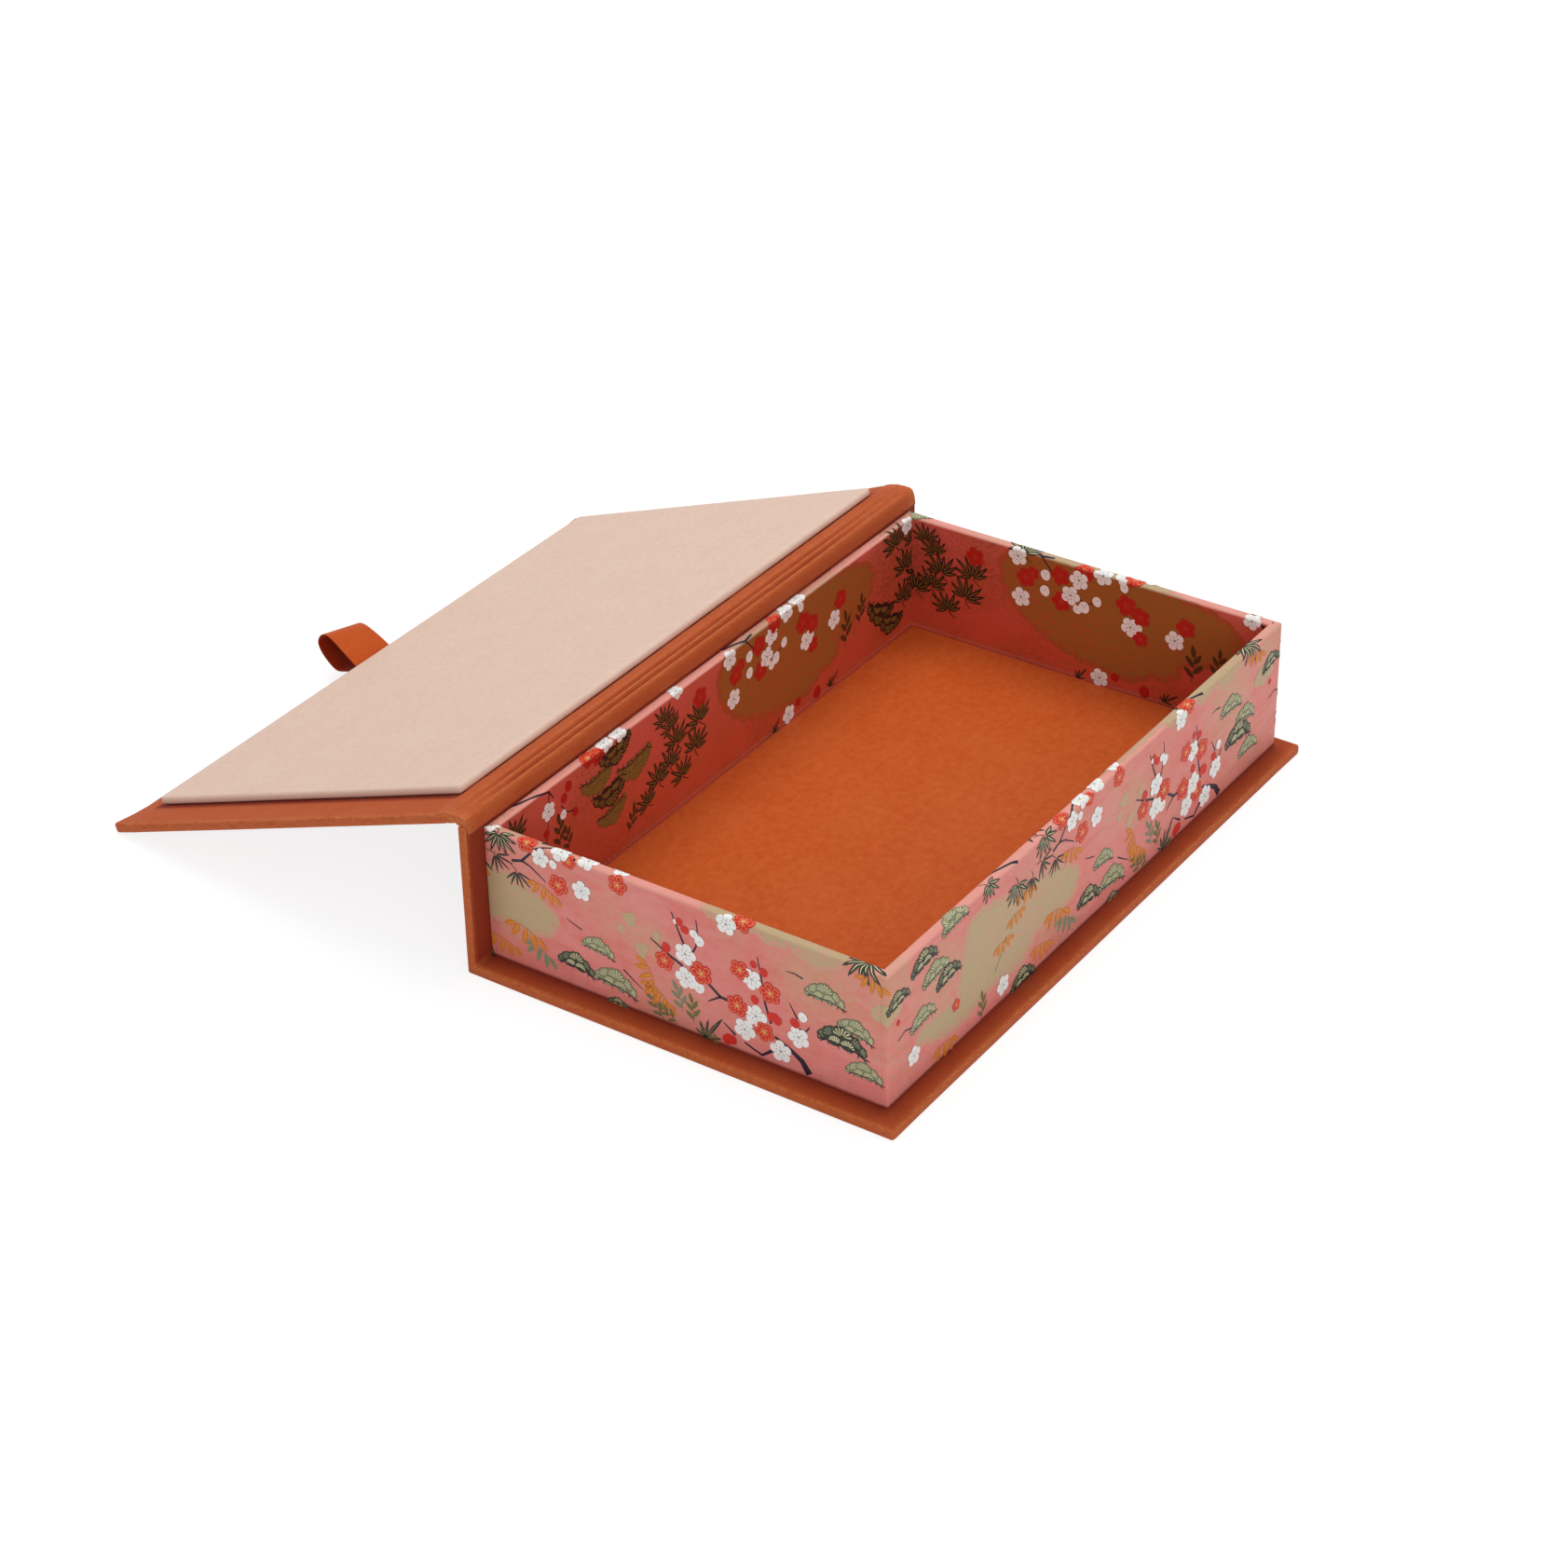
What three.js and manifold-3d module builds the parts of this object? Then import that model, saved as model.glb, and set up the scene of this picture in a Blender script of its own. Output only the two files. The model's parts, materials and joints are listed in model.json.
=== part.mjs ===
// Book-style paper box, open, with its lid laid back on the table.
// Millimetres. X runs along the hinge, the spine is at +Y, and Z is up.
// The origin is the middle of the box's footprint, on the underside of the base.

import * as THREE from 'three';
import { mergeVertices } from 'three/addons/utils/BufferGeometryUtils.js';
import Module from 'manifold-3d';

const wasm = await Module();
wasm.setup();

// Case: three cloth-covered boards
const caseLength = 217;
const caseDepth = 134;
const coverBoard = 2.25;
const clothSkin = 0.375;
const clothTurnIn = 14;
const coverCornerRadius = 1.1;
const coverEdgeRadius = 0.5;

// Tray: boards covered in printed paper
const frontMargin = 6;
const nearMargin = 7;
const farMargin = 4;
const trayWallHeight = 40.5;
const trayBoard = 2.5;
const paperSkin = 0.25;
const boardEdgeRadius = 0.5;
const paperUnderLip = 10;
const paperFloorLip = 4;

// Floor liner: thin card wrapped in paper
const linerCard = 0.5;
const linerPaper = 0.125;
const linerInset = 1;
const linerCornerRadius = 0.3;
const linerTurnIn = 12;

// Hinge between spine and lid
const ribbonRoom = 0.6;
const lidEdgeSlack = 0.5;
const flapSlack = 1;
const spineHeadroom = 0.6;
const hingeStrip = 0.4;
const hingeStripLap = 1.9;
const hingeStripLift = 0.3;
const hingeEndInset = 1;
const linerStripOnLid = 18;

// Raised pad inside the lid
const padBoard = 1.7;
const padPaper = 0.25;
const padEndClearance = 1;
const padSideClearance = 0.4;
const padCornerRadius = 1.6;
const padEdgeRadius = 0.8;
const padTurnIn = 15;

// Ribbon pull
const ribbonWidth = 15;
const ribbonThickness = 0.3;
const ribbonOffset = -2;
const ribbonTailLength = 20;
const loopRise = 12.6;
const loopReach = 4;
const loopBend = 2;
const loopStart = 0.3;

// Running gap between pieces that are glued inside the turned lid
const glueGap = 0.15;

// Worked out from the sizes above
const coverThickness = coverBoard + 2 * clothSkin;
const wallThickness = trayBoard + 2 * paperSkin;
const halfLength = caseLength / 2;
const frontFace = -caseDepth / 2;
const spineFace = caseDepth / 2;
const spineInner = spineFace - coverThickness;
const trayFront = frontFace + frontMargin;
const trayBack = spineInner;
const trayNear = -halfLength + nearMargin;
const trayFar = halfLength - farMargin;
const rimHeight = coverThickness + trayWallHeight;
const hingeHeight = rimHeight + ribbonRoom + coverThickness;
const spineTop = hingeHeight - spineHeadroom;
const lidEdge = coverThickness + lidEdgeSlack;
const roomNear = trayNear + wallThickness;
const roomFar = trayFar - wallThickness;
const trayFloorTop = coverThickness + paperSkin + trayBoard;
const linerSeat = trayFloorTop + paperSkin;
const linerTop = linerSeat + linerCard + 2 * linerPaper;

// The lid's free edge rests on the table, on the round of its outer corner
const edgeArm = caseDepth - coverEdgeRadius;
const edgeReach = Math.hypot(edgeArm, coverEdgeRadius);
const lidDrop = Math.asin((hingeHeight - coverEdgeRadius) / edgeReach) + Math.atan2(coverEdgeRadius, edgeArm);

// The pad, in the lid's own frame: y out from the hinge line, z up from the lid's outer face
const padNear = roomNear + padEndClearance;
const padFar = roomFar - padEndClearance;
const padStart = spineFace - (trayBack - wallThickness) + padSideClearance;
const padEnd = spineFace - (trayFront + wallThickness) - padSideClearance;
const padSeat = coverThickness + glueGap;
const padThickness = padBoard + 2 * padPaper + 2 * glueGap;
const ribbonStack = 2 * ribbonThickness;

const colours = {
  greyboard: [0xa89f92, 0.92],
  cloth: [0xb9502a, 0.85],
  print: [0xd98a82, 0.6],
  liner: [0xba5126, 0.8],
  cream: [0xe0c7b8, 0.8],
  ribbon: [0xc4501c, 0.55],
};

function piece(name, shape, finish) {
  const [color, roughness] = colours[finish];
  const material = new THREE.MeshStandardMaterial({ color, roughness, metalness: 0 });
  const mesh = new THREE.Mesh(shape, material);
  mesh.name = name;
  return mesh;
}

// Joining and cutting

function toSolid(geometry) {
  const bare = geometry.clone();
  bare.deleteAttribute('normal');
  bare.deleteAttribute('uv');
  const merged = mergeVertices(bare, 1e-5);
  const vertProperties = new Float32Array(merged.attributes.position.array);
  const triVerts = new Uint32Array(merged.index.array);
  return new wasm.Manifold(new wasm.Mesh({ numProp: 3, vertProperties, triVerts }));
}

function toGeometry(solid) {
  const mesh = solid.getMesh();
  const geometry = new THREE.BufferGeometry();
  geometry.setAttribute('position', new THREE.BufferAttribute(new Float32Array(mesh.vertProperties), 3));
  geometry.setIndex(new THREE.BufferAttribute(new Uint32Array(mesh.triVerts), 1));
  geometry.computeVertexNormals();
  return geometry;
}

function cut(geometry, tools) {
  let solid = toSolid(geometry);
  for (const tool of tools) solid = solid.subtract(toSolid(tool));
  return toGeometry(solid);
}

function join(first, second) {
  return toGeometry(toSolid(first).add(toSolid(second)));
}

// Forms, all placed by the planes that they reach, so that touching faces share one value

function eachPoint(geometry, move) {
  const position = geometry.attributes.position;
  const point = new THREE.Vector3();
  for (let i = 0; i < position.count; i++) {
    point.fromBufferAttribute(position, i);
    move(point);
    position.setXYZ(i, point.x, point.y, point.z);
  }
  return geometry;
}

function block(x, y, z) {
  return eachPoint(new THREE.BoxGeometry(1, 1, 1), (p) => {
    p.set(p.x < 0 ? x[0] : x[1], p.y < 0 ? y[0] : y[1], p.z < 0 ? z[0] : z[1]);
  });
}

// A profile drawn in Y and Z, carried along X
function alongX(profile, x) {
  const geometry = new THREE.ExtrudeGeometry(profile, { depth: 1, bevelEnabled: false, curveSegments: 4 });
  return eachPoint(geometry, (p) => p.set(p.z < 0.5 ? x[0] : x[1], p.x, p.y));
}

// A profile drawn in X and Z, carried along Y
function alongY(profile, y) {
  const geometry = new THREE.ExtrudeGeometry(profile, { depth: 1, bevelEnabled: false, curveSegments: 4 });
  return eachPoint(geometry, (p) => p.set(p.x, p.z < 0.5 ? y[1] : y[0], p.y));
}

function roundedRectangle(width, height, radius) {
  const shape = new THREE.Shape();
  const right = width / 2;
  const top = height / 2;
  shape.moveTo(-right + radius, -top);
  shape.absarc(right - radius, -top + radius, radius, -Math.PI / 2, 0);
  shape.absarc(right - radius, top - radius, radius, 0, Math.PI / 2);
  shape.absarc(-right + radius, top - radius, radius, Math.PI / 2, Math.PI);
  shape.absarc(-right + radius, -top + radius, radius, Math.PI, 1.5 * Math.PI);
  return shape;
}

// A board as it looks once covered: round corners in plan and soft edges, lying in X and Y
function coveredBoard(x, y, z, cornerRadius, edgeRadius) {
  const size = [x[1] - x[0], y[1] - y[0], z[1] - z[0]];
  const outline = roundedRectangle(size[0] - 2 * edgeRadius, size[1] - 2 * edgeRadius, cornerRadius - edgeRadius);
  const geometry = new THREE.ExtrudeGeometry(outline, {
    depth: size[2] - 2 * edgeRadius,
    bevelThickness: edgeRadius,
    bevelSize: edgeRadius,
    bevelSegments: 2,
    curveSegments: 3,
  });
  geometry.computeBoundingBox();
  return snapBetween(geometry, geometry.boundingBox, [x, y, z]);
}

function snapBetween(geometry, box, planes) {
  const near = 1e-4;
  const place = (value, low, high, [start, end]) => {
    if (value - low < near) return start;
    if (high - value < near) return end;
    return start + (value - low) * (end - start) / (high - low);
  };
  return eachPoint(geometry, (p) => {
    p.set(
      place(p.x, box.min.x, box.max.x, planes[0]),
      place(p.y, box.min.y, box.max.y, planes[1]),
      place(p.z, box.min.z, box.max.z, planes[2]),
    );
  });
}

// The same form standing up, its thickness along Y
function standing(geometry, y, z) {
  geometry.computeBoundingBox();
  const x = [geometry.boundingBox.min.x, geometry.boundingBox.max.x];
  geometry.rotateX(Math.PI / 2);
  geometry.computeBoundingBox();
  return snapBetween(geometry, geometry.boundingBox, [x, y, z]);
}

// An open strip of even thickness that follows points in a plane
function strip(points, thickness) {
  const half = thickness / 2;
  const left = [];
  const right = [];
  points.forEach((point, i) => {
    const before = points[Math.max(i - 1, 0)];
    const after = points[Math.min(i + 1, points.length - 1)];
    const along = new THREE.Vector2().subVectors(after, before).normalize();
    left.push(new THREE.Vector2(point.x - along.y * half, point.y + along.x * half));
    right.push(new THREE.Vector2(point.x + along.y * half, point.y - along.x * half));
  });
  return new THREE.Shape([...right, ...left.reverse()]);
}

function smooth(corners, steps) {
  return new THREE.SplineCurve(corners.map(([a, b]) => new THREE.Vector2(a, b))).getPoints(steps);
}

// Case

function baseBoard() {
  const x = halfLength - clothSkin;
  return block([-x, x], [frontFace + clothSkin, spineInner - clothSkin], [clothSkin, clothSkin + coverBoard]);
}

function baseCloth() {
  const plate = coveredBoard(
    [-halfLength, halfLength], [frontFace, spineInner], [0, coverThickness],
    coverCornerRadius, coverEdgeRadius,
  );
  const x = halfLength - clothTurnIn;
  const window = block([-x, x], [frontFace + clothTurnIn, spineInner - clothTurnIn], [coverBoard, coverThickness + 1]);
  return cut(plate, [baseBoard(), window]);
}

function spineBoard() {
  const x = halfLength - clothSkin;
  return block([-x, x], [spineInner + clothSkin, spineFace - clothSkin], [clothSkin, spineTop - clothSkin]);
}

const spineWindow = {
  x: halfLength - clothTurnIn,
  bottom: coverThickness,
  top: rimHeight,
};

function spineCloth() {
  const plate = standing(
    coveredBoard(
      [-halfLength, halfLength], [0, spineTop], [0, coverThickness],
      coverCornerRadius, coverEdgeRadius,
    ),
    [spineInner, spineFace], [0, spineTop],
  );
  const window = block(
    [-spineWindow.x, spineWindow.x],
    [spineInner - 1, spineInner + clothSkin],
    [spineWindow.bottom, spineWindow.top],
  );
  return cut(plate, [spineBoard(), window]);
}

function spineLiner() {
  return block(
    [-spineWindow.x, spineWindow.x],
    [spineInner, spineInner + clothSkin],
    [spineWindow.bottom, spineWindow.top],
  );
}

// Tray. Depths into a wall are counted from its outside face.

const depthOf = {
  outside: 0,
  boardOut: paperSkin,
  boardIn: paperSkin + trayBoard,
  inside: wallThickness,
};
const fromFront = (depth) => trayFront + depth;
const fromBack = (depth) => trayBack - depth;
const fromNear = (depth) => trayNear + depth;
const fromFar = (depth) => trayFar - depth;

// Upright board with its top edges rubbed round
function wallBoardProfile(place) {
  const low = place(depthOf.boardOut);
  const high = place(depthOf.boardIn);
  const [left, right] = low < high ? [low, high] : [high, low];
  const bottom = coverThickness + paperSkin;
  const top = rimHeight - paperSkin;
  const r = boardEdgeRadius;
  const shape = new THREE.Shape();
  shape.moveTo(left, bottom);
  shape.lineTo(right, bottom);
  shape.lineTo(right, top - r);
  shape.absarc(right - r, top - r, r, 0, Math.PI / 2);
  shape.lineTo(left + r, top);
  shape.absarc(left + r, top - r, r, Math.PI / 2, Math.PI);
  return shape;
}

// Printed paper folded round the wall: under the tray, up outside, over the rim, down inside, out on the floor.
// inward is +1 where the tray lies on the plus side of the wall, and -1 on the other side.
function foldedPaperProfile(place, inward) {
  const at = (depth) => place(depth);
  const corner = boardEdgeRadius + paperSkin;
  const outerCentre = at(corner);
  const innerCentre = at(wallThickness - corner);
  const bend = rimHeight - corner;
  const start = inward > 0 ? Math.PI : 0;
  const end = Math.PI - start;
  const clockwise = inward > 0;
  const shape = new THREE.Shape();
  shape.moveTo(at(paperUnderLip), coverThickness);
  shape.lineTo(at(depthOf.outside), coverThickness);
  shape.lineTo(at(depthOf.outside), bend);
  shape.absarc(outerCentre, bend, corner, start, Math.PI / 2, clockwise);
  shape.lineTo(innerCentre, rimHeight);
  shape.absarc(innerCentre, bend, corner, Math.PI / 2, end, clockwise);
  shape.lineTo(at(depthOf.inside), linerSeat);
  shape.lineTo(at(wallThickness + paperFloorLip), linerSeat);
  shape.lineTo(at(wallThickness + paperFloorLip), trayFloorTop);
  shape.lineTo(at(depthOf.boardIn), trayFloorTop);
  shape.lineTo(at(depthOf.boardIn), bend);
  shape.absarc(innerCentre, bend, boardEdgeRadius, end, Math.PI / 2, !clockwise);
  shape.lineTo(outerCentre, rimHeight - paperSkin);
  shape.absarc(outerCentre, bend, boardEdgeRadius, Math.PI / 2, start, !clockwise);
  shape.lineTo(at(depthOf.boardOut), coverThickness + paperSkin);
  shape.lineTo(at(paperUnderLip), coverThickness + paperSkin);
  return shape;
}

function longBoard(place) {
  return alongX(wallBoardProfile(place), [fromNear(depthOf.boardOut), fromFar(depthOf.boardOut)]);
}

function endBoard(place) {
  return alongY(wallBoardProfile(place), [fromFront(depthOf.boardIn), fromBack(depthOf.boardIn)]);
}

function span(a, b) {
  return a < b ? [a, b] : [b, a];
}

const past = 1;
const underTop = coverThickness + paperSkin;

// Long walls: the inner layer and both lips stop short at the corners, where the end papers lie
function longPaper(place, inward) {
  const profile = foldedPaperProfile(place, inward);
  const sheet = alongX(profile, [fromNear(depthOf.boardOut), fromFar(depthOf.boardOut)]);
  const deep = place(wallThickness + paperUnderLip + past);
  const notches = [];
  for (const end of [fromNear, fromFar]) {
    const outX = end(-past);
    notches.push(block(span(outX, end(paperUnderLip)), span(place(depthOf.boardOut), deep), [0, underTop]));
    notches.push(block(
      span(outX, end(depthOf.inside)), span(place(depthOf.boardIn), deep), [underTop, rimHeight + past],
    ));
    notches.push(block(
      span(outX, end(wallThickness + paperFloorLip)), span(place(depthOf.inside), deep), [underTop, linerSeat + past],
    ));
  }
  return cut(sheet, notches);
}

// End walls: the outer sheet runs over the ends of the long walls
function endPaper(place, inward) {
  const profile = foldedPaperProfile(place, inward);
  const sheet = alongY(profile, [fromFront(depthOf.boardOut), fromBack(depthOf.boardOut)]);
  const deep = place(wallThickness + paperUnderLip + past);
  const notches = [];
  for (const side of [fromFront, fromBack]) {
    const outY = side(-past);
    notches.push(block(span(place(depthOf.boardOut), deep), span(outY, side(depthOf.boardIn)), [underTop, rimHeight + past]));
    notches.push(block(span(place(depthOf.inside), deep), span(outY, side(depthOf.inside)), [underTop, rimHeight + past]));
  }
  const corner = boardEdgeRadius + paperSkin;
  const face = new THREE.Shape();
  face.moveTo(trayFront, coverThickness);
  face.lineTo(trayBack, coverThickness);
  face.lineTo(trayBack, rimHeight - corner);
  face.absarc(trayBack - corner, rimHeight - corner, corner, 0, Math.PI / 2);
  face.absarc(trayFront + corner, rimHeight - corner, corner, Math.PI / 2, Math.PI);
  const outer = alongX(face, span(place(depthOf.outside), place(depthOf.boardOut)));
  return join(cut(sheet, notches), outer);
}

function trayFloorBoard() {
  return block(
    [fromNear(depthOf.boardIn), fromFar(depthOf.boardIn)],
    [fromFront(depthOf.boardIn), fromBack(depthOf.boardIn)],
    [underTop, trayFloorTop],
  );
}

const linerX = [roomNear + linerInset, roomFar - linerInset];
const linerY = [fromFront(depthOf.inside + linerInset), fromBack(depthOf.inside + linerInset)];

function floorCard() {
  return block(
    [linerX[0] + linerPaper, linerX[1] - linerPaper],
    [linerY[0] + linerPaper, linerY[1] - linerPaper],
    [linerSeat + linerPaper, linerTop - linerPaper],
  );
}

function floorPaper() {
  const plate = coveredBoard(linerX, linerY, [linerSeat, linerTop], linerCornerRadius, linerPaper);
  const window = block(
    [linerX[0] + linerTurnIn, linerX[1] - linerTurnIn],
    [linerY[0] + linerTurnIn, linerY[1] - linerTurnIn],
    [linerSeat - 1, linerSeat + linerPaper],
  );
  return cut(plate, [floorCard(), window]);
}

// Cloth joint between spine and lid: up the spine, over its top in two shallow creases, on to the lid's edge

function onLid(out, up) {
  return [
    spineFace + out * Math.cos(lidDrop) + up * Math.sin(lidDrop),
    hingeHeight - out * Math.sin(lidDrop) + up * Math.cos(lidDrop),
  ];
}

function hingeCloth() {
  const half = hingeStrip / 2;
  const crown = spineTop + half + hingeStripLift;
  const lidSide = onLid(lidEdge - glueGap, coverThickness - half);
  const rise = lidSide[1] - crown;
  const route = smooth([
    [spineInner - half, spineTop - hingeStripLap],
    [spineInner - half, spineTop - half],
    [spineInner + half, crown],
    [(spineInner + spineFace) / 2, crown + rise * 0.23],
    [spineFace, crown + rise * 0.28],
    [spineFace + (lidSide[0] - spineFace) * 0.3, crown + rise * 0.43],
    [spineFace + (lidSide[0] - spineFace) * 0.64, crown + rise * 0.76],
    lidSide,
  ], 36);
  const x = halfLength - hingeEndInset;
  return alongX(strip(route, hingeStrip), [-x, x]);
}

// Lid, in its own frame

function lidBoard() {
  const x = halfLength - clothSkin - glueGap;
  return block(
    [-x, x],
    [lidEdge + clothSkin + glueGap, caseDepth - clothSkin - glueGap],
    [clothSkin + glueGap, coverThickness - clothSkin - glueGap],
  );
}

const lidWindow = {
  x: halfLength - clothTurnIn,
  start: lidEdge + 2 * clothSkin,
  end: caseDepth - clothTurnIn,
};

function lidCloth() {
  const plate = coveredBoard(
    [-halfLength, halfLength], [lidEdge, caseDepth], [0, coverThickness],
    coverCornerRadius, coverEdgeRadius,
  );
  const x = halfLength - clothSkin;
  const hollow = block([-x, x], [lidEdge + clothSkin, caseDepth - clothSkin], [clothSkin, coverThickness - clothSkin]);
  const window = block(
    [-lidWindow.x, lidWindow.x], [lidWindow.start, lidWindow.end], [coverThickness - clothSkin, coverThickness + 1],
  );
  const flapX = halfLength - hingeEndInset;
  const flap = block([-flapX, flapX], [flapSlack, lidEdge + clothSkin], [0, clothSkin]);
  return join(cut(plate, [hollow, window]), flap);
}

function lidLiner() {
  const x = lidWindow.x - glueGap;
  return block(
    [-x, x],
    [lidWindow.start + glueGap, lidWindow.start + linerStripOnLid],
    [coverThickness - clothSkin, coverThickness],
  );
}

// Recess under the pad for the two ends of the ribbon
function ribbonRecess() {
  const x = ribbonWidth / 2 + glueGap;
  return block(
    [ribbonOffset - x, ribbonOffset + x],
    [padEnd - ribbonTailLength - glueGap, padEnd + 1],
    [padSeat - 1, padSeat + ribbonStack + glueGap],
  );
}

function padBoardPiece() {
  const inset = padPaper + glueGap;
  const plain = block(
    [padNear + inset, padFar - inset],
    [padStart + inset, padEnd - inset],
    [padSeat + inset, padSeat + inset + padBoard],
  );
  return cut(plain, [ribbonRecess()]);
}

function padCover() {
  const plate = coveredBoard(
    [padNear, padFar], [padStart, padEnd], [padSeat, padSeat + padThickness],
    padCornerRadius, padEdgeRadius,
  );
  const hollow = block(
    [padNear + padPaper, padFar - padPaper],
    [padStart + padPaper, padEnd - padPaper],
    [padSeat + padPaper, padSeat + padThickness - padPaper],
  );
  const window = block(
    [padNear + padTurnIn, padFar - padTurnIn],
    [padStart + padTurnIn, padEnd - padTurnIn],
    [padSeat - 1, padSeat + padPaper],
  );
  return cut(plate, [hollow, window, ribbonRecess()]);
}

function ribbonTail() {
  const x = ribbonWidth / 2;
  return block(
    [ribbonOffset - x, ribbonOffset + x],
    [padEnd - ribbonTailLength, padEnd],
    [padSeat, padSeat + ribbonStack],
  );
}

// The ribbon lies on the lid's margin, is pushed up where the lid meets the table, and comes back to the pad
function pullLoop() {
  const half = ribbonThickness / 2;
  const lower = padSeat + half;
  const upper = lower + ribbonThickness + glueGap;
  const crest = coverThickness + loopRise;
  const tip = caseDepth + loopReach;
  const margin = caseDepth - padEnd;
  const route = smooth([
    [padEnd + loopStart, lower],
    [padEnd + margin * 0.5, lower],
    [caseDepth - loopBend * 0.75, lower],
    [caseDepth, lower + loopBend * 0.15],
    [(caseDepth + tip) / 2, lower + loopRise * 0.3],
    [tip, crest - loopBend * 1.5],
    [tip - loopBend * 0.6, crest - loopBend * 0.3],
    [tip - loopBend * 1.6, crest],
    [tip - loopBend * 2.9, crest - loopBend * 0.5],
    [padEnd + margin * 0.5, lower + loopRise * 0.5],
    [padEnd + margin * 0.18, upper + loopRise * 0.16],
    [padEnd + loopStart, upper],
  ], 60);
  const x = ribbonWidth / 2;
  return alongX(strip(route, ribbonThickness), [ribbonOffset - x, ribbonOffset + x]);
}

const box = new THREE.Group();

const caseGroup = new THREE.Group();
caseGroup.add(
  piece('base_board', baseBoard(), 'greyboard'),
  piece('spine_board', spineBoard(), 'greyboard'),
  piece('base_cloth', baseCloth(), 'cloth'),
  piece('spine_cloth', spineCloth(), 'cloth'),
  piece('spine_liner', spineLiner(), 'cloth'),
);

const trayGroup = new THREE.Group();
trayGroup.add(
  piece('tray_floor_board', trayFloorBoard(), 'greyboard'),
  piece('tray_front_board', longBoard(fromFront), 'greyboard'),
  piece('tray_back_board', longBoard(fromBack), 'greyboard'),
  piece('tray_near_board', endBoard(fromNear), 'greyboard'),
  piece('tray_far_board', endBoard(fromFar), 'greyboard'),
  piece('front_paper', longPaper(fromFront, 1), 'print'),
  piece('back_paper', longPaper(fromBack, -1), 'print'),
  piece('near_paper', endPaper(fromNear, 1), 'print'),
  piece('far_paper', endPaper(fromFar, -1), 'print'),
  piece('floor_card', floorCard(), 'greyboard'),
  piece('floor_paper', floorPaper(), 'liner'),
);

const lidGroup = new THREE.Group();
lidGroup.position.set(0, spineFace, hingeHeight);
lidGroup.rotation.x = -lidDrop;
lidGroup.add(
  piece('lid_board', lidBoard(), 'greyboard'),
  piece('lid_cloth', lidCloth(), 'cloth'),
  piece('lid_liner', lidLiner(), 'cloth'),
  piece('pad_board', padBoardPiece(), 'greyboard'),
  piece('pad_cover', padCover(), 'cream'),
  piece('ribbon_tail', ribbonTail(), 'ribbon'),
  piece('pull_loop', pullLoop(), 'ribbon'),
);

box.add(caseGroup, trayGroup, piece('hinge_cloth', hingeCloth(), 'cloth'), lidGroup);

export default box;
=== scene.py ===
import json
import math
import random

import bmesh
import bpy
from bmesh.types import BMEdge, BMFace, BMVert
from mathutils import Matrix, Vector, noise

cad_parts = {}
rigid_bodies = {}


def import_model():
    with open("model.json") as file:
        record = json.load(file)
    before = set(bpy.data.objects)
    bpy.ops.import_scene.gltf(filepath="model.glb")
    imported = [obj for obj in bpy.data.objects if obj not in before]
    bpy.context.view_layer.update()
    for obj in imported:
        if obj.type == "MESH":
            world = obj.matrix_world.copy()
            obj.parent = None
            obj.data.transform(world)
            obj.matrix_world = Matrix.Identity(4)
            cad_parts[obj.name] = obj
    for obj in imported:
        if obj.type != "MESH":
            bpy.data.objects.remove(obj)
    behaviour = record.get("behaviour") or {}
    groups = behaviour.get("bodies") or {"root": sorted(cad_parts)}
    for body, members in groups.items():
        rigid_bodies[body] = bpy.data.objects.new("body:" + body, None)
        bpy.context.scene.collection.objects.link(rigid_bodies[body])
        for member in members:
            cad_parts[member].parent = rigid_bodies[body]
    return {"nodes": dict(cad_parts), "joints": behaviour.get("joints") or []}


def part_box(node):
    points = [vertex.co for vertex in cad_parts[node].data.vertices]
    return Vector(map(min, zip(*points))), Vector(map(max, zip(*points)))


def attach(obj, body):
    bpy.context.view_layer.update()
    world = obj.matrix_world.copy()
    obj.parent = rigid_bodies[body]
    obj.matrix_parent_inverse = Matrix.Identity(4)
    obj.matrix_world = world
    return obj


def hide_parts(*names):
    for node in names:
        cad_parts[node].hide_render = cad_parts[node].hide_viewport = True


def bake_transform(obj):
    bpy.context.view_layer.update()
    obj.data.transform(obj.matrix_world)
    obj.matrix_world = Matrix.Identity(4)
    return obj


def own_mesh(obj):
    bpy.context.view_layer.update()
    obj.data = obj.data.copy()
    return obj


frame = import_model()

scene = bpy.context.scene
for leftOver in [o for o in scene.objects if o.name in ("Cube", "Light", "Camera")]:
    bpy.data.objects.remove(leftOver)
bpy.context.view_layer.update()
mm = 0.001
noise.seed_set(11)  # else the cloth's waviness moves a little from run to run
print("frame loaded:", len(frame["nodes"]), "nodes")


# camera, floor and light

camera = {
    "place": (-0.724148, -0.461799, 0.568779),
    "right": (0.56246077, -0.8266348, -0.01768621),
    "up": (0.45084282, 0.28869233, 0.84462861),
    "back": (-0.69309353, -0.48304415, 0.53506047),
    "lens": 85.33,
    "sensor": 36.0,
}


def makeCamera():
    data = bpy.data.cameras.new("viewCamera")
    data.lens = camera["lens"]
    data.sensor_width = camera["sensor"]
    data.sensor_fit = "AUTO"
    data.clip_start = 0.01
    data.clip_end = 50
    eye = bpy.data.objects.new("viewCamera", data)
    scene.collection.objects.link(eye)
    turned = Matrix((camera["right"], camera["up"], camera["back"])).transposed().to_4x4()
    eye.matrix_world = Matrix.Translation(camera["place"]) @ turned
    scene.camera = eye


makeCamera()
scene.view_settings.view_transform = "Standard"


def hexColour(text):
    parts = [int(text[k:k + 2], 16) / 255 for k in (1, 3, 5)]
    linear = [p / 12.92 if p <= 0.04045 else ((p + 0.055) / 1.055) ** 2.4 for p in parts]
    return (*linear, 1.0)


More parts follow.
